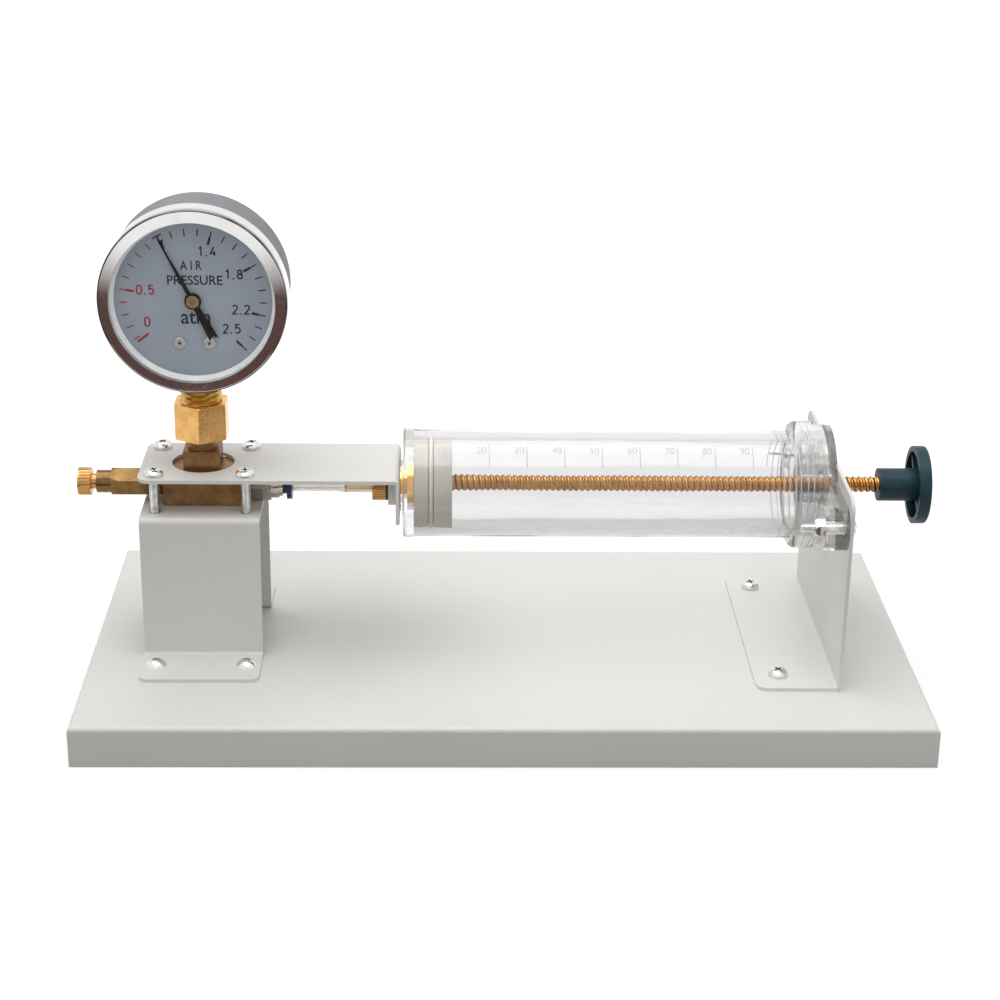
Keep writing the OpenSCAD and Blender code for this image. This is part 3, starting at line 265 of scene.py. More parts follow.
def rubber(name, first, second, rough=0.6):
    """Matt rubber with a fine grain. It also makes the painted shade in the screws' recesses."""
    s = Surface(name, first, rough)
    s.clouds(0.5, first, second)
    s.gloss(2.0, rough - 0.1, rough + 0.12)
    s.bump(s.noise(1.6, 4), 0.03, 0.5)
    return s.mat


def clear(name, tint, rough, wave, ior, scuffs=0.10, kinds=()):
    """Clear moulded plastic or glass with slight waviness, in millimetres, and fine scuffs. Rays of these
    kinds go straight through, as shadow rays do."""
    s = Surface(name, tint, rough, transmission_weight=1.0, ior=ior)
    scuff = s.noise(0.9, 4, 0.6, (0.15, 1, 1))
    s.feed(s.fit(scuff, 0.62, 0.80, rough, rough + scuffs), "Roughness")
    s.clouds(0.05, tint, tuple(0.985 * c for c in tint), 3, 0.7)
    if wave:
        s.bump(s.noise(0.06, 2, 0.5, (0.3, 1, 1)), wave, 1.0)
    s.lets_light_in(0.97, *kinds)
    return s.mat


def milky(name, first, second, through, rough):
    """Translucent moulded plastic: cloudy colour, part of the light goes through."""
    s = Surface(name, first, rough, transmission_weight=through, ior=1.45)
    s.clouds(0.15, first, second)
    s.gloss(0.3, rough - 0.06, rough + 0.08)
    s.bump(s.noise(0.15, 2), 0.02, 0.4)
    s.lets_light_in(0.55)
    return s.mat


def plastic(name, first, second, rough=0.28):
    """Moulded plastic: slight flow clouds, soft gloss and fine texture."""
    s = Surface(name, first, rough, specular_ior_level=0.3)
    s.clouds(0.12, first, second)
    s.gloss(0.9, rough - 0.08, rough + 0.12)
    s.bump(s.noise(1.4, 3), 0.02, 0.5)
    return s.mat


COAT = painted_sheet()
ZINC = zinc()
BRASS_LIGHT = brass("brass_adapter", (0.96, 0.58, 0.22), (0.80, 0.43, 0.13), marks=1.0)
BRASS_DARK = brass("brass_manifold", (0.34, 0.19, 0.085), (0.20, 0.11, 0.05), (0.32, 0.5), (14, 1, 1))
BRASS_TURNED = brass("brass_turned", (0.56, 0.32, 0.12), (0.38, 0.20, 0.07), scratch=(14, 1, 1))
BRASS_VALVE = brass("brass_valve", (0.22, 0.13, 0.048), (0.12, 0.068, 0.028), (0.18, 0.32), (14, 1, 1))
BRASS_SCREW = brass("brass_screw", (0.62, 0.32, 0.10), (0.42, 0.19, 0.055), (0.14, 0.28), (1, 1, 1), 0.3)
BRASS_DULL = brass("brass_dull", (0.27, 0.17, 0.09), (0.19, 0.12, 0.06), (0.3, 0.45))
# Painted shade: near-black brass for the end of the pointer's spindle
BRASS_PAINTED_SHADE = brass("brass_painted_shade", (0.075, 0.045, 0.028), (0.045, 0.028, 0.018), (0.35, 0.5))
BRASS_STEM = brass("brass_stem", (0.74, 0.46, 0.13), (0.50, 0.29, 0.07))
BRASS_WORKS = brass("brass_works", (0.85, 0.62, 0.30), (0.70, 0.48, 0.20), scratch=(1, 1, 6), marks=0.2)
NICKEL = chrome("nickel_plate", (0.56, 0.51, 0.45), 0.2)
# Painted shade: a darker copy of the nickel plate, for the dial's screws in the bezel's shade
NICKEL_SHADED = chrome("nickel_painted_shade", (0.36, 0.335, 0.31), 0.16)
RIM_CENTRE = NODES["gauge_bezel"].matrix_world.inverted() @ Vector((GAUGE_X * MM, 0, GAUGE_Z * MM))
RIM = rolled_rim("bezel_chrome", (0.86, 0.85, 0.84), 0.08, RIM_CENTRE, 30.42, 0.4, 4, 0.19)
CASE = lacquer()
# Painted shade: the white dial is coloured dark blue-grey for the shade of the bezel and the lens over it
DIAL = enamel("dial_painted_shade", (0.242, 0.268, 0.31), (0.265, 0.292, 0.33), 0.5, 0.2)
CONE = enamel("cone_white", (0.80, 0.81, 0.80), (0.85, 0.86, 0.84), 0.4)
INK_BLACK = enamel("ink_black", (0.012, 0.012, 0.014), (0.02, 0.02, 0.022), 0.5, 0.15)
INK_RED = enamel("ink_red", (0.27, 0.014, 0.028), (0.23, 0.012, 0.024), 0.5, 0.2)
INK_GREY = enamel("scale_ink", (0.50, 0.51, 0.53), (0.57, 0.58, 0.60), 0.5)
POINTER = enamel("pointer_paint", (0.010, 0.007, 0.009), (0.016, 0.012, 0.014), 0.5, 0.05)
RUBBER = rubber("black_rubber", (0.014, 0.014, 0.015), (0.026, 0.026, 0.028))
SILICONE = rubber("pale_silicone", (0.62, 0.60, 0.54), (0.70, 0.68, 0.62), 0.4)
NYLON = milky("white_nylon", (0.80, 0.78, 0.72), (0.86, 0.84, 0.79), 0.15, 0.4)
TUBE = milky("milky_tube", (0.96, 0.93, 0.88), (0.975, 0.95, 0.91), 0.86, 0.12)
PISTON = milky("milky_piston", (0.60, 0.57, 0.50), (0.64, 0.61, 0.55), 0.2, 0.35)
ACRYLIC = clear("clear_barrel", (0.85, 0.849, 0.85), 0.02, 0.5, 1.38)
CAP_CLEAR = clear("clear_cap", (0.985, 0.98, 0.98), 0.12, 0.4, 1.3, kinds=["Is Diffuse Ray"])
# Painted shade: grey translucent plastic for the grey lines that the clear thread's flanks show
THREAD_SHADE = milky("thread_painted_shade", (0.80, 0.80, 0.81), (0.86, 0.86, 0.87), 0.5, 0.5)
# Painted shade: near-black matt colour for the faces inside the screws' cross recesses
RECESS_SHADE = rubber("screw_recess_painted_shade", (0.045, 0.045, 0.05), (0.08, 0.08, 0.085), 0.5)
GLASS = clear("lens_glass", (0.98, 0.985, 0.99), 0.005, 0, 1.2, 0.02)
NAVY = plastic("navy_plastic", (0.018, 0.03, 0.10), (0.025, 0.04, 0.13))
GREEN = plastic("green_plastic", (0.004, 0.028, 0.040), (0.007, 0.040, 0.054), 0.42)


def dress(material, *names):
    """Gives CAD nodes this material."""
    for name in names:
        for slot in NODES[name].material_slots:
            slot.material = material


dress(COAT, "base_tray", "pedestal", "clamp_strap", "rear_bracket")
dress(ZINC, "pedestal_screws", "pedestal_nuts", "strap_nuts", "cap_nuts", "bracket_nuts", "movement_screws")
dress(BRASS_DARK, "manifold")
dress(BRASS_LIGHT, "gauge_adapter", "port_nipple")
dress(BRASS_VALVE, "valve_body")
dress(BRASS_TURNED, "bleed_screw", "port_nut")
dress(BRASS_WORKS, "bourdon_tube", "tube_tip", "movement_frame", "hairspring", "link", "sector_gear")
dress(BRASS_DULL, "pointer_spindle")
dress(CASE, "gauge_case")
dress(RIM, "gauge_bezel")
dress(GLASS, "gauge_lens")
dress(DIAL, "gauge_dial")
dress(CONE, "dial_ring")
dress(POINTER, "pointer")
dress(NICKEL, "fitting_body")
dress(RUBBER, "valve_pad", "tube_seal", "port_gasket")
dress(SILICONE, "piston_ring")
dress(NAVY, "release_ring")
dress(TUBE, "link_tube")
dress(NYLON, "outer_washer")
dress(CAP_CLEAR, "inner_washer", "end_cap")
dress(ACRYLIC, "barrel")
dress(PISTON, "piston", "piston_retainer")
dress(GREEN, "handwheel")


# ---------------------------------------------------------------- meshes

def place(origin, x_axis, z_axis):
    """A matrix that puts local Z along z_axis and local X as near x_axis as it goes, in millimetres."""
    z = Vector(z_axis).normalized()
    x = (Vector(x_axis) - Vector(x_axis).dot(z) * z).normalized()
    y = z.cross(x)
    turn = Matrix((x, y, z)).transposed().to_4x4()
    return Matrix.Translation(Vector(origin)) @ turn


def raw_mesh(parts):
    """One bmesh, in metres, of (verts, faces, matrix) parts in millimetres."""
    bm = bmesh.new()
    for verts, faces, matrix in parts:
        made = [bm.verts.new(matrix @ Vector(v) * MM) for v in verts]
        for face in faces:
            bm.faces.new([made[i] for i in face])
    bmesh.ops.remove_doubles(bm, verts=bm.verts, dist=1e-7)
    bmesh.ops.dissolve_degenerate(bm, edges=bm.edges, dist=1e-8)
    bmesh.ops.recalc_face_normals(bm, faces=bm.faces)
    return bm


def piece(name, bm, material, body="base", instead=(), crease=32, others=()):
    """Makes a piece of a bmesh, hangs it on the body that it rides on and hides the nodes that it stands for.
    Others are its materials after the first, by face index."""
    mesh = bpy.data.meshes.new(name)
    bm.to_mesh(mesh)
    bm.free()
    mesh.shade_smooth()
    mesh.set_sharp_from_angle(angle=radians(crease))
    for each in (material, *others):
        mesh.materials.append(each)
    obj = bpy.data.objects.new(name, mesh)
    bpy.context.collection.objects.link(obj)
    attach(obj, body)
    if instead:
        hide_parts(*instead)
    return obj


def spin(profile, segments):
    """A surface turned about local Z from (z, r) points."""
    verts, faces, rows = [], [], []
    for z, r in profile:
        start = len(verts)
        if r == 0:
            rows.append([start] * segments)
            verts.append((0, 0, z))
        else:
            rows.append([start + i for i in range(segments)])
            verts += [(r * cos(2 * pi * i / segments), r * sin(2 * pi * i / segments), z)
                      for i in range(segments)]
    for low, high in zip(rows, rows[1:]):
        for i in range(segments):
            j = (i + 1) % segments
            face = list(dict.fromkeys((low[i], low[j], high[j], high[i])))
            if len(face) > 2:
                faces.append(face)
    return verts, faces


def thread(z0, z1, pitch, root, crest, shape, segments, runout):
    """A right-hand thread about local Z from z0 to z1; shape lists (share of a pitch, height 0 to 1).
    Its columns follow the helix, so the flanks stay crisp, and it runs out to the root at both ends."""
    per_turn = len(shape)
    turns = int((z1 - z0) / pitch) + 3
    rows = turns * per_turn
    verts, faces = [], []
    for k in range(rows + 1):
        share, height = shape[k % per_turn]
        for i in range(segments):
            z = z0 + pitch * (k // per_turn - 1 + share + i / segments)
            z = min(max(z, z0), z1)
            fade = min(1, (z - z0) / runout, (z1 - z) / runout)
            r = root + (crest - root) * height * fade
            verts.append((r * cos(2 * pi * i / segments), r * sin(2 * pi * i / segments), z))
    for k in range(rows):
        for i in range(segments):
            if i < segments - 1:
                a, b = k * segments + i, (k + 1) * segments + i
                faces.append((a, a + 1, b + 1, b))
            elif k + 1 + per_turn <= rows:
                a, b = k * segments + i, (k + 1) * segments + i
                c = (k + per_turn) * segments
                faces.append((a, c, c + segments, b))
    return verts, faces


V_THREAD = [(0.0, 0.0), (0.12, 0.0), (0.46, 1.0), (0.60, 1.0)]
ROUND_THREAD = [(0.0, 0.0), (0.10, 0.12), (0.22, 0.55), (0.36, 0.92), (0.5, 1.0), (0.64, 0.92), (0.78, 0.55),
                (0.90, 0.12)]


def cut(bm, cutters):
    """The bmesh less each cutter, a (verts, faces, matrix) part."""
    def held(work):
        mesh = bpy.data.meshes.new("work")
        work.to_mesh(mesh)
        work.free()
        obj = bpy.data.objects.new("work", mesh)
        bpy.context.collection.objects.link(obj)
        return obj
    body = held(bm)
    tools = [held(raw_mesh([part])) for part in cutters]
    for tool in tools:
        modifier = body.modifiers.new("cut", "BOOLEAN")
        modifier.operation = "DIFFERENCE"
        modifier.object = tool
    graph = bpy.context.evaluated_depsgraph_get()
    result = bmesh.new()
    result.from_object(body, graph)
    for obj in [body, *tools]:
        bpy.data.objects.remove(obj)
    return result


def wedge(length, width, depth, low_length, low_width):
    """A tapered bar that cuts one slot of a cross recess, from above z = 0 down to -depth."""
    verts = []
    for z, half_l, half_w in ((0.5, length / 2, width / 2), (-depth, low_length / 2, low_width / 2)):
        verts += [(-half_l, -half_w, z), (half_l, -half_w, z), (half_l, half_w, z), (-half_l, half_w, z)]
    faces = [(0, 1, 2, 3), (7, 6, 5, 4), (0, 4, 5, 1), (1, 5, 6, 2), (2, 6, 7, 3), (3, 7, 4, 0)]
    return verts, faces


def pan_screw(d, head_d, head_h, shank):
    """A cross-recess pan-head screw with its head's underside at local z = 0, shank down. The faces of its
    recess take the second material, a painted shade."""
    r = head_d / 2
    crown = [(head_h * (0.34 + 0.66 * sin(radians(a))), r - r * 0.62 * (1 - cos(radians(a)))) for a in
             range(0, 91, 10)]
    head = [(0, 0), (0, r * 0.96), (head_h * 0.08, r), *crown, (head_h, 0)]
    bm = raw_mesh([(*spin(head, 48), Matrix())])
    size = head_d * 0.52
    bar_cut = wedge(size, size * 0.24, head_h * 0.62, size * 0.42, size * 0.17)
    slots = [(*bar_cut, Matrix.Translation((0, 0, head_h)) @ Matrix.Rotation(a, 4, "Z")) for a in (0, pi / 2)]
    bm = cut(bm, slots)
    # Faces inside the recess take material 1, the painted shade
    for face in bm.faces:
        middle = face.calc_center_median() / MM
        if middle.xy.length < size / 2 and 0.2 * head_h < middle.z < 0.97 * head_h:
            face.material_index = 1
    pitch = 0.17 * d
    screw = thread(-shank, 0.0, pitch, d / 2 - 0.6 * pitch, d / 2, V_THREAD, 24, 0.35)
    body = raw_mesh([(*screw, Matrix()), (*spin([(-shank, 0), (-shank, d / 2 - 0.6 * pitch)], 24), Matrix())])
    joined = bpy.data.meshes.new("work")
    body.to_mesh(joined)
    bm.from_mesh(joined)
    body.free()
    bpy.data.meshes.remove(joined)
    return bm


def several(bm, matrices):
    """Copies of a bmesh, in metres, moved by matrices in millimetres, as one bmesh."""
    source = bpy.data.meshes.new("work")
    bm.to_mesh(source)
    bm.free()
    out = bmesh.new()
    for matrix in matrices:
        moved = matrix.copy()
        moved.translation = matrix.translation * MM
        copy = source.copy()
        copy.transform(moved)
        out.from_mesh(copy)
        bpy.data.meshes.remove(copy)
    bpy.data.meshes.remove(source)
    return out


# ---------------------------------------------------------------- fasteners

# Thread diameter, head diameter and head height
M35 = (3.5, 6.4, 2.4)
M3 = (3.0, 5.5, 1.9)
M14 = (1.4, 4.2, 0.7)

# Half the distance between screws, along X and Y, and where the foot's and the dial's rows stand
STRAP_HALF = (15.2, 13.4)
FOOT_X, FOOT_HALF = 92.3, 36
EAR_HALF = 39
DIAL_HALF, DIAL_DROP = 4.8, 14.3


def screws(name, node, head, shank, places, material):
    """The screws that stand for one node."""
    made = several(pan_screw(*head, shank), places)
    # The recesses get the near-black painted shade
    piece(name, made, material, instead=[node], others=[RECESS_SHADE])


# Each screw's recess stands at an angle of its own, in radians
strap_places = [place((GAUGE_X + sx * STRAP_HALF[0], sy * STRAP_HALF[1], STRAP_TOP), (cos(a), sin(a), 0),
                      (0, 0, 1)) for sx, sy, a in ((-1, -1, 0.5), (1, -1, 0.1), (-1, 1, 0.9), (1, 1, 0.35))]
screws("strap_screws_m35", "strap_screws", M35, 19, strap_places, ZINC)
foot_places = [place((FOOT_X, side * FOOT_HALF, FOOT_TOP), (cos(a), sin(a), 0), (0, 0, 1))
               for side, a in ((-1, 0.6), (1, 0.2))]
screws("bracket_screws_m35", "bracket_screws", M35, 8, foot_places, ZINC)
cap_places = [place((WALL_OUT, side * EAR_HALF, AXIS_Z), (0, cos(a), sin(a)), (1, 0, 0))
              for side, a in ((-1, 0.4), (1, 0.9))]
screws("cap_screws_m3", "cap_screws", M3, 16, cap_places, ZINC)
# The dial's screws take the darker nickel, which paints the shade under the bezel
dial_places = [place((GAUGE_X + side * DIAL_HALF, DIAL_FRONT, GAUGE_Z - DIAL_DROP), (cos(a), 0, sin(a)),
                     (0, -1, 0)) for side, a in ((-1, 0.3), (1, 1.1))]
screws("dial_screws_m14", "dial_screws", M14, 2.9, dial_places, NICKEL_SHADED)


# ---------------------------------------------------------------- lead screw and stem threads

ALONG = place((0, 0, AXIS_Z), (0, 1, 0), (1, 0, 0))
SCREW_LEFT = -21.4
SCREW_RIGHT = 141.0
SCREW_PITCH = 2.0
SCREW_ROOT = 2.22
SCREW_CREST = 2.75
collar = [(-23.4, 0), (-23.4, 4.0), (-23.2, 4.2), (-21.6, 4.2), (SCREW_LEFT, 4.0), (SCREW_LEFT, 0)]
screw_parts = [
    (*thread(SCREW_LEFT, SCREW_RIGHT, SCREW_PITCH, SCREW_ROOT, SCREW_CREST, ROUND_THREAD, 40, 0.8), ALONG),
    (*spin([(SCREW_RIGHT, SCREW_ROOT), (SCREW_RIGHT, 0)], 40), ALONG),
    (*spin(collar, 48), ALONG),
]
piece("lead_screw_threaded", raw_mesh(screw_parts), BRASS_SCREW, "screw_body", ["lead_screw"], 50)

STEM_AXIS = place((GAUGE_X, 0, 0), (1, 0, 0), (0, 0, 1))
STEM_LOW = 92.0
THREAD_TOP = 107.6
STEM_TOP = 111.062
STEM_BORE, STEM_ROOT, STEM_NECK, STEM_CREST = 2.0, 6.2, 6.95, 7.0
BLOCK_LOW, BLOCK_HIGH = 110.362, 120
BLOCK_HALF = 6.5
BLOCK_FRONT, BLOCK_BACK = -2, 7
stem_parts = [
    (*thread(STEM_LOW, THREAD_TOP, 1.8, STEM_ROOT, STEM_CREST, V_THREAD, 64, 0.6), STEM_AXIS),
    (*spin([(STEM_LOW, STEM_BORE), (STEM_LOW, STEM_ROOT)], 64), STEM_AXIS),
    (*spin([(THREAD_TOP, STEM_ROOT), (THREAD_TOP, STEM_NECK), (STEM_TOP, STEM_NECK), (STEM_TOP, 0)], 64),
     STEM_AXIS),
]
block = [(x, y, z) for z in (BLOCK_LOW, BLOCK_HIGH)
         for x, y in ((-BLOCK_HALF, BLOCK_FRONT), (BLOCK_HALF, BLOCK_FRONT), (BLOCK_HALF, BLOCK_BACK),
                      (-BLOCK_HALF, BLOCK_BACK))]
block_faces = [(3, 2, 1, 0), (4, 5, 6, 7), (0, 1, 5, 4), (1, 2, 6, 5), (2, 3, 7, 6), (3, 0, 4, 7)]
stem_parts.append((block, block_faces, STEM_AXIS))
piece("gauge_stem", raw_mesh(stem_parts), BRASS_STEM, "base", ["gauge_socket"], 40)


# ---------------------------------------------------------------- dial graphics

def ring_point(angle, r):
    """A point of the dial at an angle clockwise from the top, in degrees."""
    return (r * sin(radians(angle)), r * cos(radians(angle)))


def bar(angle, r0, r1, width):
    """A radial bar on the dial, as (verts, faces) in the dial's plane."""
    a = radians(angle)
    out, side = (sin(a), cos(a)), (cos(a), -sin(a))
    pts = [(out[0] * r + side[0] * w, out[1] * r + side[1] * w) for r, w in
           ((r0, -width / 2), (r0, width / 2), (r1, width / 2), (r1, -width / 2))]
    return [(x, y, 0) for x, y in pts], [(0, 1, 2, 3)]


def lettering(text, height, x, y, width, weight=0.0):
    """Plain letters in the dial's plane, centred at (x, y) and fitted to this height and width."""
    curve = bpy.data.curves.new("letters", "FONT")
    curve.body = text
    curve.offset = weight
    curve.resolution_u = 6
    obj = bpy.data.objects.new("letters", curve)
    bpy.context.collection.objects.link(obj)
    graph = bpy.context.evaluated_depsgraph_get()
    mesh = bpy.data.meshes.new_from_object(obj.evaluated_get(graph))
    xs = [v.co.x for v in mesh.vertices]
    ys = [v.co.y for v in mesh.vertices]
    wide, tall = width / (max(xs) - min(xs)), height / (max(ys) - min(ys))
    mid_x, mid_y = (max(xs) + min(xs)) / 2, (max(ys) + min(ys)) / 2
    verts = [((v.co.x - mid_x) * wide + x, (v.co.y - mid_y) * tall + y, 0) for v in mesh.vertices]
    faces = [tuple(p.vertices) for p in mesh.polygons]
    bpy.data.objects.remove(obj)
    bpy.data.curves.remove(curve)
    bpy.data.meshes.remove(mesh)
    return verts, faces


def arc(x, y, rx, ry, start, end, steps=10):
    """Points of an arc from start to end, in degrees anticlockwise from the right."""
    return [(x + rx * cos(radians(start + (end - start) * i / steps)),
             y + ry * sin(radians(start + (end - start) * i / steps))) for i in range(steps + 1)]


# Centre lines of narrow upright digits in a box 0.52 wide and 1 high, each a list of strokes
DIGITS = {
    "0": [arc(0.26, 0.74, 0.26, 0.26, 0, 180) + arc(0.26, 0.26, 0.26, 0.26, 180, 360) + [(0.52, 0.74)]],
    "1": [[(0.06, 0.80), (0.30, 1.0), (0.30, 0.0)]],
    "2": [arc(0.26, 0.74, 0.25, 0.26, 170, -35) + [(0.01, 0.0), (0.52, 0.0)]],
    "4": [[(0.36, 1.0), (0.0, 0.27), (0.54, 0.27)], [(0.40, 0.56), (0.40, 0.0)]],
    "5": [[(0.49, 1.0), (0.07, 1.0), (0.03, 0.56)] + arc(0.25, 0.32, 0.26, 0.32, 125, -150, 14)],
    "8": [arc(0.26, 0.765, 0.21, 0.235, -90, 270, 16), arc(0.26, 0.265, 0.26, 0.265, -90, 270, 16)],
}


def stroke(points, width):
    """A flat band of even width along points, mitred at the corners."""
    verts = []
    for i, (x, y) in enumerate(points):
        before = Vector(points[max(i - 1, 0)])
        after = Vector(points[min(i + 1, len(points) - 1)])
        here = Vector((x, y))
        first = (here - before).normalized() if i else (after - here).normalized()
        last = (after - here).normalized() if i < len(points) - 1 else first
        side = Vector((-(first + last).y, (first + last).x)).normalized()
        reach = width / 2 / max(0.45, side.dot(Vector((-first.y, first.x))))
        verts += [(x + side.x * reach, y + side.y * reach, 0), (x - side.x * reach, y - side.y * reach, 0)]
    faces = [(2 * i, 2 * i + 1, 2 * i + 3, 2 * i + 2) for i in range(len(points) - 1)]
    return verts, faces


def figures(text, height, x, y, weight):
    """Plain figures centred at (x, y), as a list of flat parts."""
    high = height - weight
    step = 0.52 * high + weight + 0.14 * height
    gap = weight + 0.14 * height
    total = sum(gap + weight if c == "." else step for c in text) - 0.14 * height
    at, low, parts = x - total / 2 + weight / 2, y - high / 2, []
    for c in text:
        if c == ".":
            parts.append(stroke([(at, low - weight / 2), (at, low + weight / 2)], weight * 1.05))
            at += gap + weight * 0.9
            continue
        for points in DIGITS[c]:
            parts.append(stroke([(at + px * high, low + py * high) for px, py in points], weight))
        at += step
    return parts


def printed(name, parts, plane, material, body="base"):
    """Flat ink, a few hundredths of a millimetre in front of what carries it."""
    bm = bmesh.new()
    for verts, faces in parts:
        made = [bm.verts.new(plane @ Vector(v) * MM) for v in verts]
        for face in faces:
            bm.faces.new([made[i] for i in face])
    return piece(name, bm, material, body)


INK_LIFT = 0.03
DIAL_PLANE = place((GAUGE_X, DIAL_FRONT - INK_LIFT, GAUGE_Z), (1, 0, 0), (0, -1, 0))
# Degrees clockwise from the top: where the scale begins, and a tenth of an atmosphere
SCALE_START = -135
PER_TENTH = 10.8
TICK_OUT = 23.9
MAJORS = (5, 10, 14, 18, 22, 25)
red_parts = [bar(-127.3, 18.6, 23.2, 0.8)]
black_parts = []
for tenth in range(1, 26):
    angle = SCALE_START + PER_TENTH * tenth
    ink = red_parts if tenth < 10 else black_parts
    if tenth in MAJORS:
        ink.append(bar(angle, 19.2, 21.7, 0.8))
        ink.append(bar(angle, 21.7, TICK_OUT, 0.4))
    else:
        ink.append(bar(angle, 21.4, TICK_OUT, 0.4))
for text, x, y, ink in (("0", -15.1, -7.3, red_parts), ("0.5", -15.3, 3.5, red_parts),
                        ("1", -9.3, 18.5, black_parts), ("1.4", 5.0, 16.4, black_parts),
                        ("1.8", 13.4, 8.8, black_parts), ("2.2", 15.4, -3.0, black_parts),
                        ("2.5", 12.2, -9.5, black_parts)):
    ink.extend(figures(text, 3.4, x, y, 0.50))
# A short mark across the outer end of the tick at one atmosphere
MARK_X, MARK_Y, MARK_ANGLE = -10.9, 21.2, -27.3
side, out = ring_point(MARK_ANGLE + 90, 1.6), ring_point(MARK_ANGLE, 0.25)
mark = [(MARK_X + a * side[0] + b * out[0], MARK_Y + a * side[1] + b * out[1], 0)
        for a, b in ((-1, -1), (1, -1), (1, 1), (-1, 1))]
black_parts.append((mark, [(0, 1, 2, 3)]))
for words in (("A I R", 3.1, -0.3, 11.7, 7.0, 0.013), ("PRESSURE", 3.2, 0.8, 6.8, 17.8, 0.013),
              ("atm", 4.1, 0.6, -5.9, 9.5, 0.010)):
    black_parts.append(lettering(*words))
printed("dial_print_red", red_parts, DIAL_PLANE, INK_RED)
printed("dial_print_black", black_parts, DIAL_PLANE, INK_BLACK)

HUB_FRONT = -13.04
HUB_R = 0.78
HUB_SIDES = 24
HUB_PLANE = place((GAUGE_X, HUB_FRONT, GAUGE_Z), (1, 0, 0), (0, -1, 0))
ring = [(x, y, 0) for x, y in arc(0, 0, HUB_R, HUB_R, 0, 360, HUB_SIDES)[:-1]]
# The spindle's end is a flat disc of near-black brass, painted shade at the dial's middle
printed("spindle_end", [(ring, [tuple(range(HUB_SIDES))])], HUB_PLANE, BRASS_PAINTED_SHADE, "pointer_body")


# ---------------------------------------------------------------- barrel's thread and scale

def helix_ridge(z0, z1, pitch, base, crest, half, per_turn=72):
    """A pointed ridge wound about local Z, closed at both ends."""
    count = int((z1 - z0) / pitch * per_turn)
    verts, faces = [], []
    for k in range(count + 1):
        a = 2 * pi * k / per_turn
        z = z0 + (z1 - z0) * k / count
        fade = min(1, k / 12, (count - k) / 12)
        top = base + 0.02 + (crest - base - 0.02) * fade
        verts += [(r * cos(a), r * sin(a), z + dz) for r, dz in ((base, -half), (top, 0), (base, half))]
    for k in range(count):
        for e in range(3):
            f = (e + 1) % 3
            faces.append((3 * k + e, 3 * k + f, 3 * k + 3 + f, 3 * k + 3 + e))
    faces += [(2, 1, 0), (3 * count, 3 * count + 1, 3 * count + 2)]
    return verts, faces


RIDGE_LEFT, RIDGE_RIGHT = 92.5, 104.5
RIDGE_PITCH = 2.0
RIDGE_BASE, RIDGE_CREST = 18.34, 18.46
ridge = helix_ridge(RIDGE_LEFT, RIDGE_RIGHT, RIDGE_PITCH, RIDGE_BASE, RIDGE_CREST, 0.13)
# The barrel's thread as a ridge in grey translucent plastic, painted shade of the clear flanks
piece("barrel_thread", raw_mesh([(*ridge, ALONG)]), THREAD_SHADE, "base", crease=40)

# The radius at which the scale's ink lies
BARREL_R = 18.36


def wrapped(part, x):
    """A flat part laid round the barrel: its own X runs along the axis, its Y up round the wall."""
    verts, faces = part
    turned = []
    for u, v, _ in verts:
        a = v / BARREL_R
        turned.append((x + u, -BARREL_R * sin(a), BARREL_R * cos(a)))
    return turned, faces


def scale_line(low, high, width, steps=8):
    """An upright line in strips, so that it can bend round the wall."""
    verts = [(sx * width / 2, low + (high - low) * i / steps, 0) for i in range(steps + 1) for sx in (-1, 1)]
    faces = [(2 * i, 2 * i + 1, 2 * i + 3, 2 * i + 2) for i in range(steps)]
    return verts, faces


ON_AXIS = Matrix.Translation((0, 0, AXIS_Z))
per_degree = radians(1) * BARREL_R
ZERO_X = -30.3
TEN_ML = 12.62
# Degrees round the barrel, from its top towards the front
LINE_FROM, LINE_TO, FIGURE_AT = 25.5, 52.5, 32
scale_parts = []
for k in range(1, 10):
    at = ZERO_X + TEN_ML * k
    scale_parts.append(wrapped(scale_line(LINE_FROM * per_degree, LINE_TO * per_degree, 0.28), at))
    letters, letter_faces = lettering(str(10 * k), 2.6, -2.6, FIGURE_AT * per_degree, 3.2)
    flipped = [(u, 2 * FIGURE_AT * per_degree - v, 0) for u, v, _ in letters]
    scale_parts.append(wrapped((flipped, letter_faces), at))
printed("barrel_scale", scale_parts, ON_AXIS, INK_GREY)


# ---------------------------------------------------------------- studio

# In metres. The floor ends in front of the base, so that what mirrors the front stays dark there
FLOOR_SIDE, FLOOR_FRONT, FLOOR_BACK = 0.9, -0.138, 1.9
# The floor's own glow: two distances from the centre, each with the strength there, and the share of X
# that counts towards the distance
GLOW_NEAR, GLOW_FAR = (0.07, 0.765), (0.40, 1.0)
GLOW_SCALE = (0.5, 1, 1)


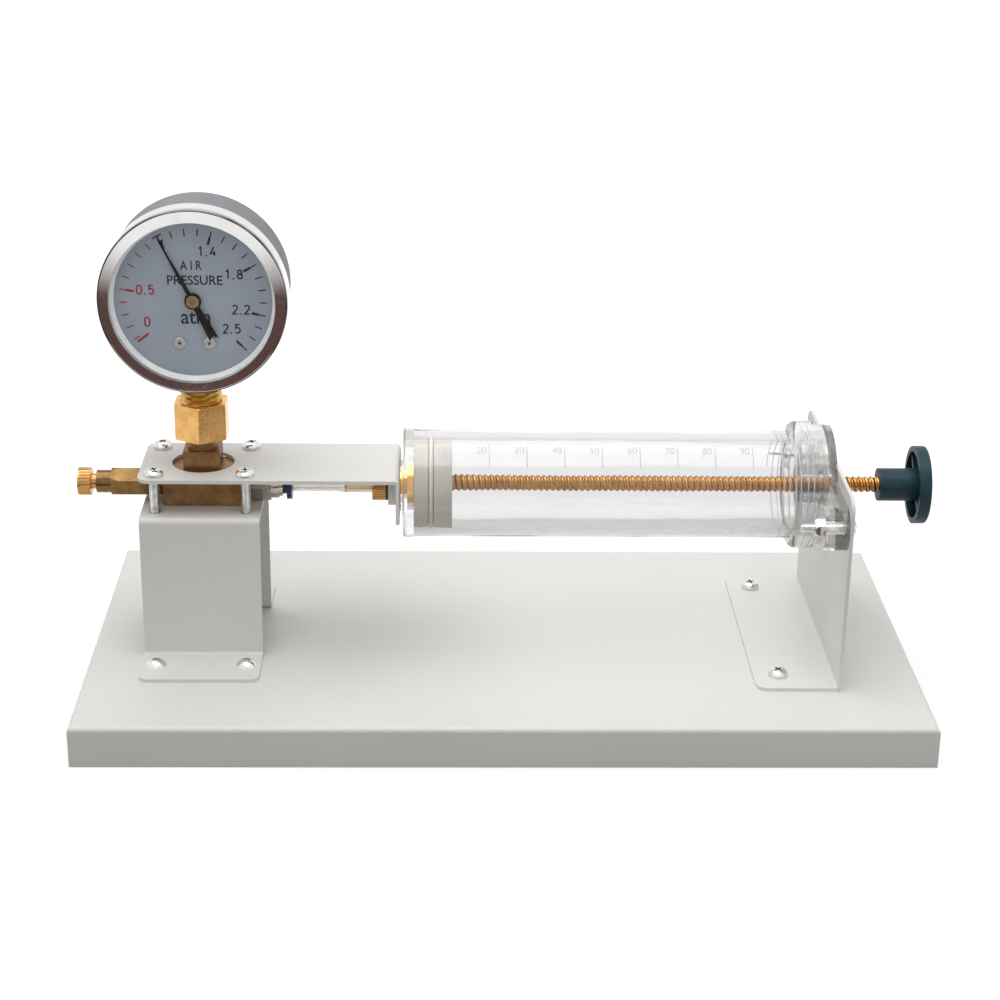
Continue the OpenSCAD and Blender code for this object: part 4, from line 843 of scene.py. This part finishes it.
def make_floor():
    """A pale floor that also glows for the rays that see it, less so round the apparatus."""
    mesh = bpy.data.meshes.new("floor")
    corners = [(-FLOOR_SIDE, FLOOR_FRONT, 0), (FLOOR_SIDE, FLOOR_FRONT, 0), (FLOOR_SIDE, FLOOR_BACK, 0),
               (-FLOOR_SIDE, FLOOR_BACK, 0)]
    mesh.from_pydata(corners, [], [(0, 1, 2, 3)])
    obj = bpy.data.objects.new("floor", mesh)
    bpy.context.collection.objects.link(obj)
    mat = bpy.data.materials.new("floor_white")
    mat.use_nodes = True
    tree = mat.node_tree
    tree.nodes.remove(tree.nodes["Principled BSDF"])
    diffuse = tree.nodes.new("ShaderNodeBsdfDiffuse")
    diffuse.inputs["Color"].default_value = (0.26, 0.26, 0.26, 1)
    glow = tree.nodes.new("ShaderNodeEmission")
    seen = light_path(tree, "Is Camera Ray", "Is Glossy Ray", "Is Transmission Ray")
    coord = tree.nodes.new("ShaderNodeTexCoord").outputs["Object"]
    squeeze = tree.nodes.new("ShaderNodeVectorMath")
    squeeze.operation = "MULTIPLY"
    squeeze.inputs[1].default_value = GLOW_SCALE
    tree.links.new(coord, squeeze.inputs[0])
    away = tree.nodes.new("ShaderNodeVectorMath")
    away.operation = "LENGTH"
    tree.links.new(squeeze.outputs["Vector"], away.inputs[0])
    spread = fitted(tree, away.outputs["Value"], GLOW_NEAR[0], GLOW_FAR[0], GLOW_NEAR[1], GLOW_FAR[1])
    tree.links.new(combined(tree, "MULTIPLY", seen, spread), glow.inputs["Strength"])
    add = tree.nodes.new("ShaderNodeAddShader")
    tree.links.new(diffuse.outputs["BSDF"], add.inputs[0])
    tree.links.new(glow.outputs["Emission"], add.inputs[1])
    tree.links.new(add.outputs["Shader"], tree.nodes["Material Output"].inputs["Surface"])
    mesh.materials.append(mat)


FILL_POWER = 0.47
# What metal mirrors: this brown below the first height of a ray's direction, white above the second
ROOM_BROWN = (0.11, 0.06, 0.055)
ROOM_LOW, ROOM_HIGH = -0.25, -0.05


def backdrop(tree, colour, strength):
    """A background shader of this colour and strength."""
    node = tree.nodes.new("ShaderNodeBackground")
    node.inputs["Color"].default_value = (*colour, 1)
    node.inputs["Strength"].default_value = strength
    return node


def chosen(tree, factor, first, second):
    """The first shader, or the second where the factor is 1."""
    node = tree.nodes.new("ShaderNodeMixShader")
    tree.links.new(factor, node.inputs["Fac"])
    tree.links.new(first, node.inputs[1])
    tree.links.new(second, node.inputs[2])
    return node.outputs["Shader"]


def make_world():
    """White to the camera and through glass, a soft fill to matt surfaces, a half dark room to metal."""
    world = bpy.data.worlds.new("studio")
    bpy.context.scene.world = world
    world.use_nodes = True
    tree = world.node_tree
    seen = tree.nodes["Background"]
    seen.inputs["Color"].default_value = (1, 1, 1, 1)
    seen.inputs["Strength"].default_value = 1.0
    fill = backdrop(tree, (0.97, 0.985, 1.0), FILL_POWER)
    mirror = backdrop(tree, (1, 1, 1), 1.0)
    coord = tree.nodes.new("ShaderNodeTexCoord").outputs["Generated"]
    split = tree.nodes.new("ShaderNodeSeparateXYZ")
    tree.links.new(coord, split.inputs["Vector"])
    ramp = tree.nodes.new("ShaderNodeValToRGB")
    tree.links.new(fitted(tree, split.outputs["Z"], ROOM_LOW, ROOM_HIGH, 0.0, 1.0), ramp.inputs["Fac"])
    for stop, position, colour in zip(ramp.color_ramp.elements, (0.0, 1.0), (ROOM_BROWN, (1, 1, 1))):
        stop.position = position
        stop.color = (*colour, 1)
    tree.links.new(ramp.outputs["Color"], mirror.inputs["Color"])
    metal = light_path(tree, "Is Glossy Ray")
    first = chosen(tree, metal, fill.outputs["Background"], mirror.outputs["Background"])
    straight = light_path(tree, "Is Camera Ray", "Is Transmission Ray")
    last = chosen(tree, straight, first, seen.outputs["Background"])
    tree.links.new(last, tree.nodes["World Output"].inputs["Surface"])


def softbox(name, at, towards, size, power):
    """A white area light in metres and watts."""
    data = bpy.data.lights.new(name, "AREA")
    data.shape = "RECTANGLE"
    data.size, data.size_y = size
    data.energy = power
    obj = bpy.data.objects.new(name, data)
    bpy.context.collection.objects.link(obj)
    obj.location = at
    obj.rotation_euler = (Vector(towards) - Vector(at)).to_track_quat("-Z", "Y").to_euler()


# The camera as it was solved from the photograph: degrees, a focal length in pixels, millimetres
CAMERA_YAW, CAMERA_PITCH, CAMERA_ROLL = 1.71, 21.89, 0.87
CAMERA_PLACE = (-21.6, -692.9, 342.3)
FOCAL_PX, PICTURE_PX = 2184, 1000
SENSOR_MM = 36.0


def make_camera():
    """The photograph's own view."""
    yaw, pitch, roll = radians(CAMERA_YAW), radians(CAMERA_PITCH), radians(CAMERA_ROLL)
    forward = Vector((sin(yaw) * cos(pitch), cos(yaw) * cos(pitch), -sin(pitch)))
    flat = Vector((cos(yaw), -sin(yaw), 0))
    rise = flat.cross(forward)
    right = cos(roll) * flat + sin(roll) * rise
    up = cos(roll) * rise - sin(roll) * flat
    data = bpy.data.cameras.new("camera")
    data.sensor_width = SENSOR_MM
    data.lens = SENSOR_MM * FOCAL_PX / PICTURE_PX
    obj = bpy.data.objects.new("camera", data)
    bpy.context.collection.objects.link(obj)
    turn = Matrix((right, up, -forward)).transposed().to_4x4()
    obj.matrix_world = Matrix.Translation(Vector(CAMERA_PLACE) * MM) @ turn
    bpy.context.scene.camera = obj


make_floor()
make_world()
softbox("key_top", (-0.1, -0.02, 1.1), (0, 0.02, 0.05), (1.3, 1.0), 10.4)
softbox("fill_front", (-0.5, -1.3, 0.7), (0, 0, 0.08), (0.9, 0.7), 0.5)
make_camera()
bpy.context.scene.view_settings.view_transform = "Standard"
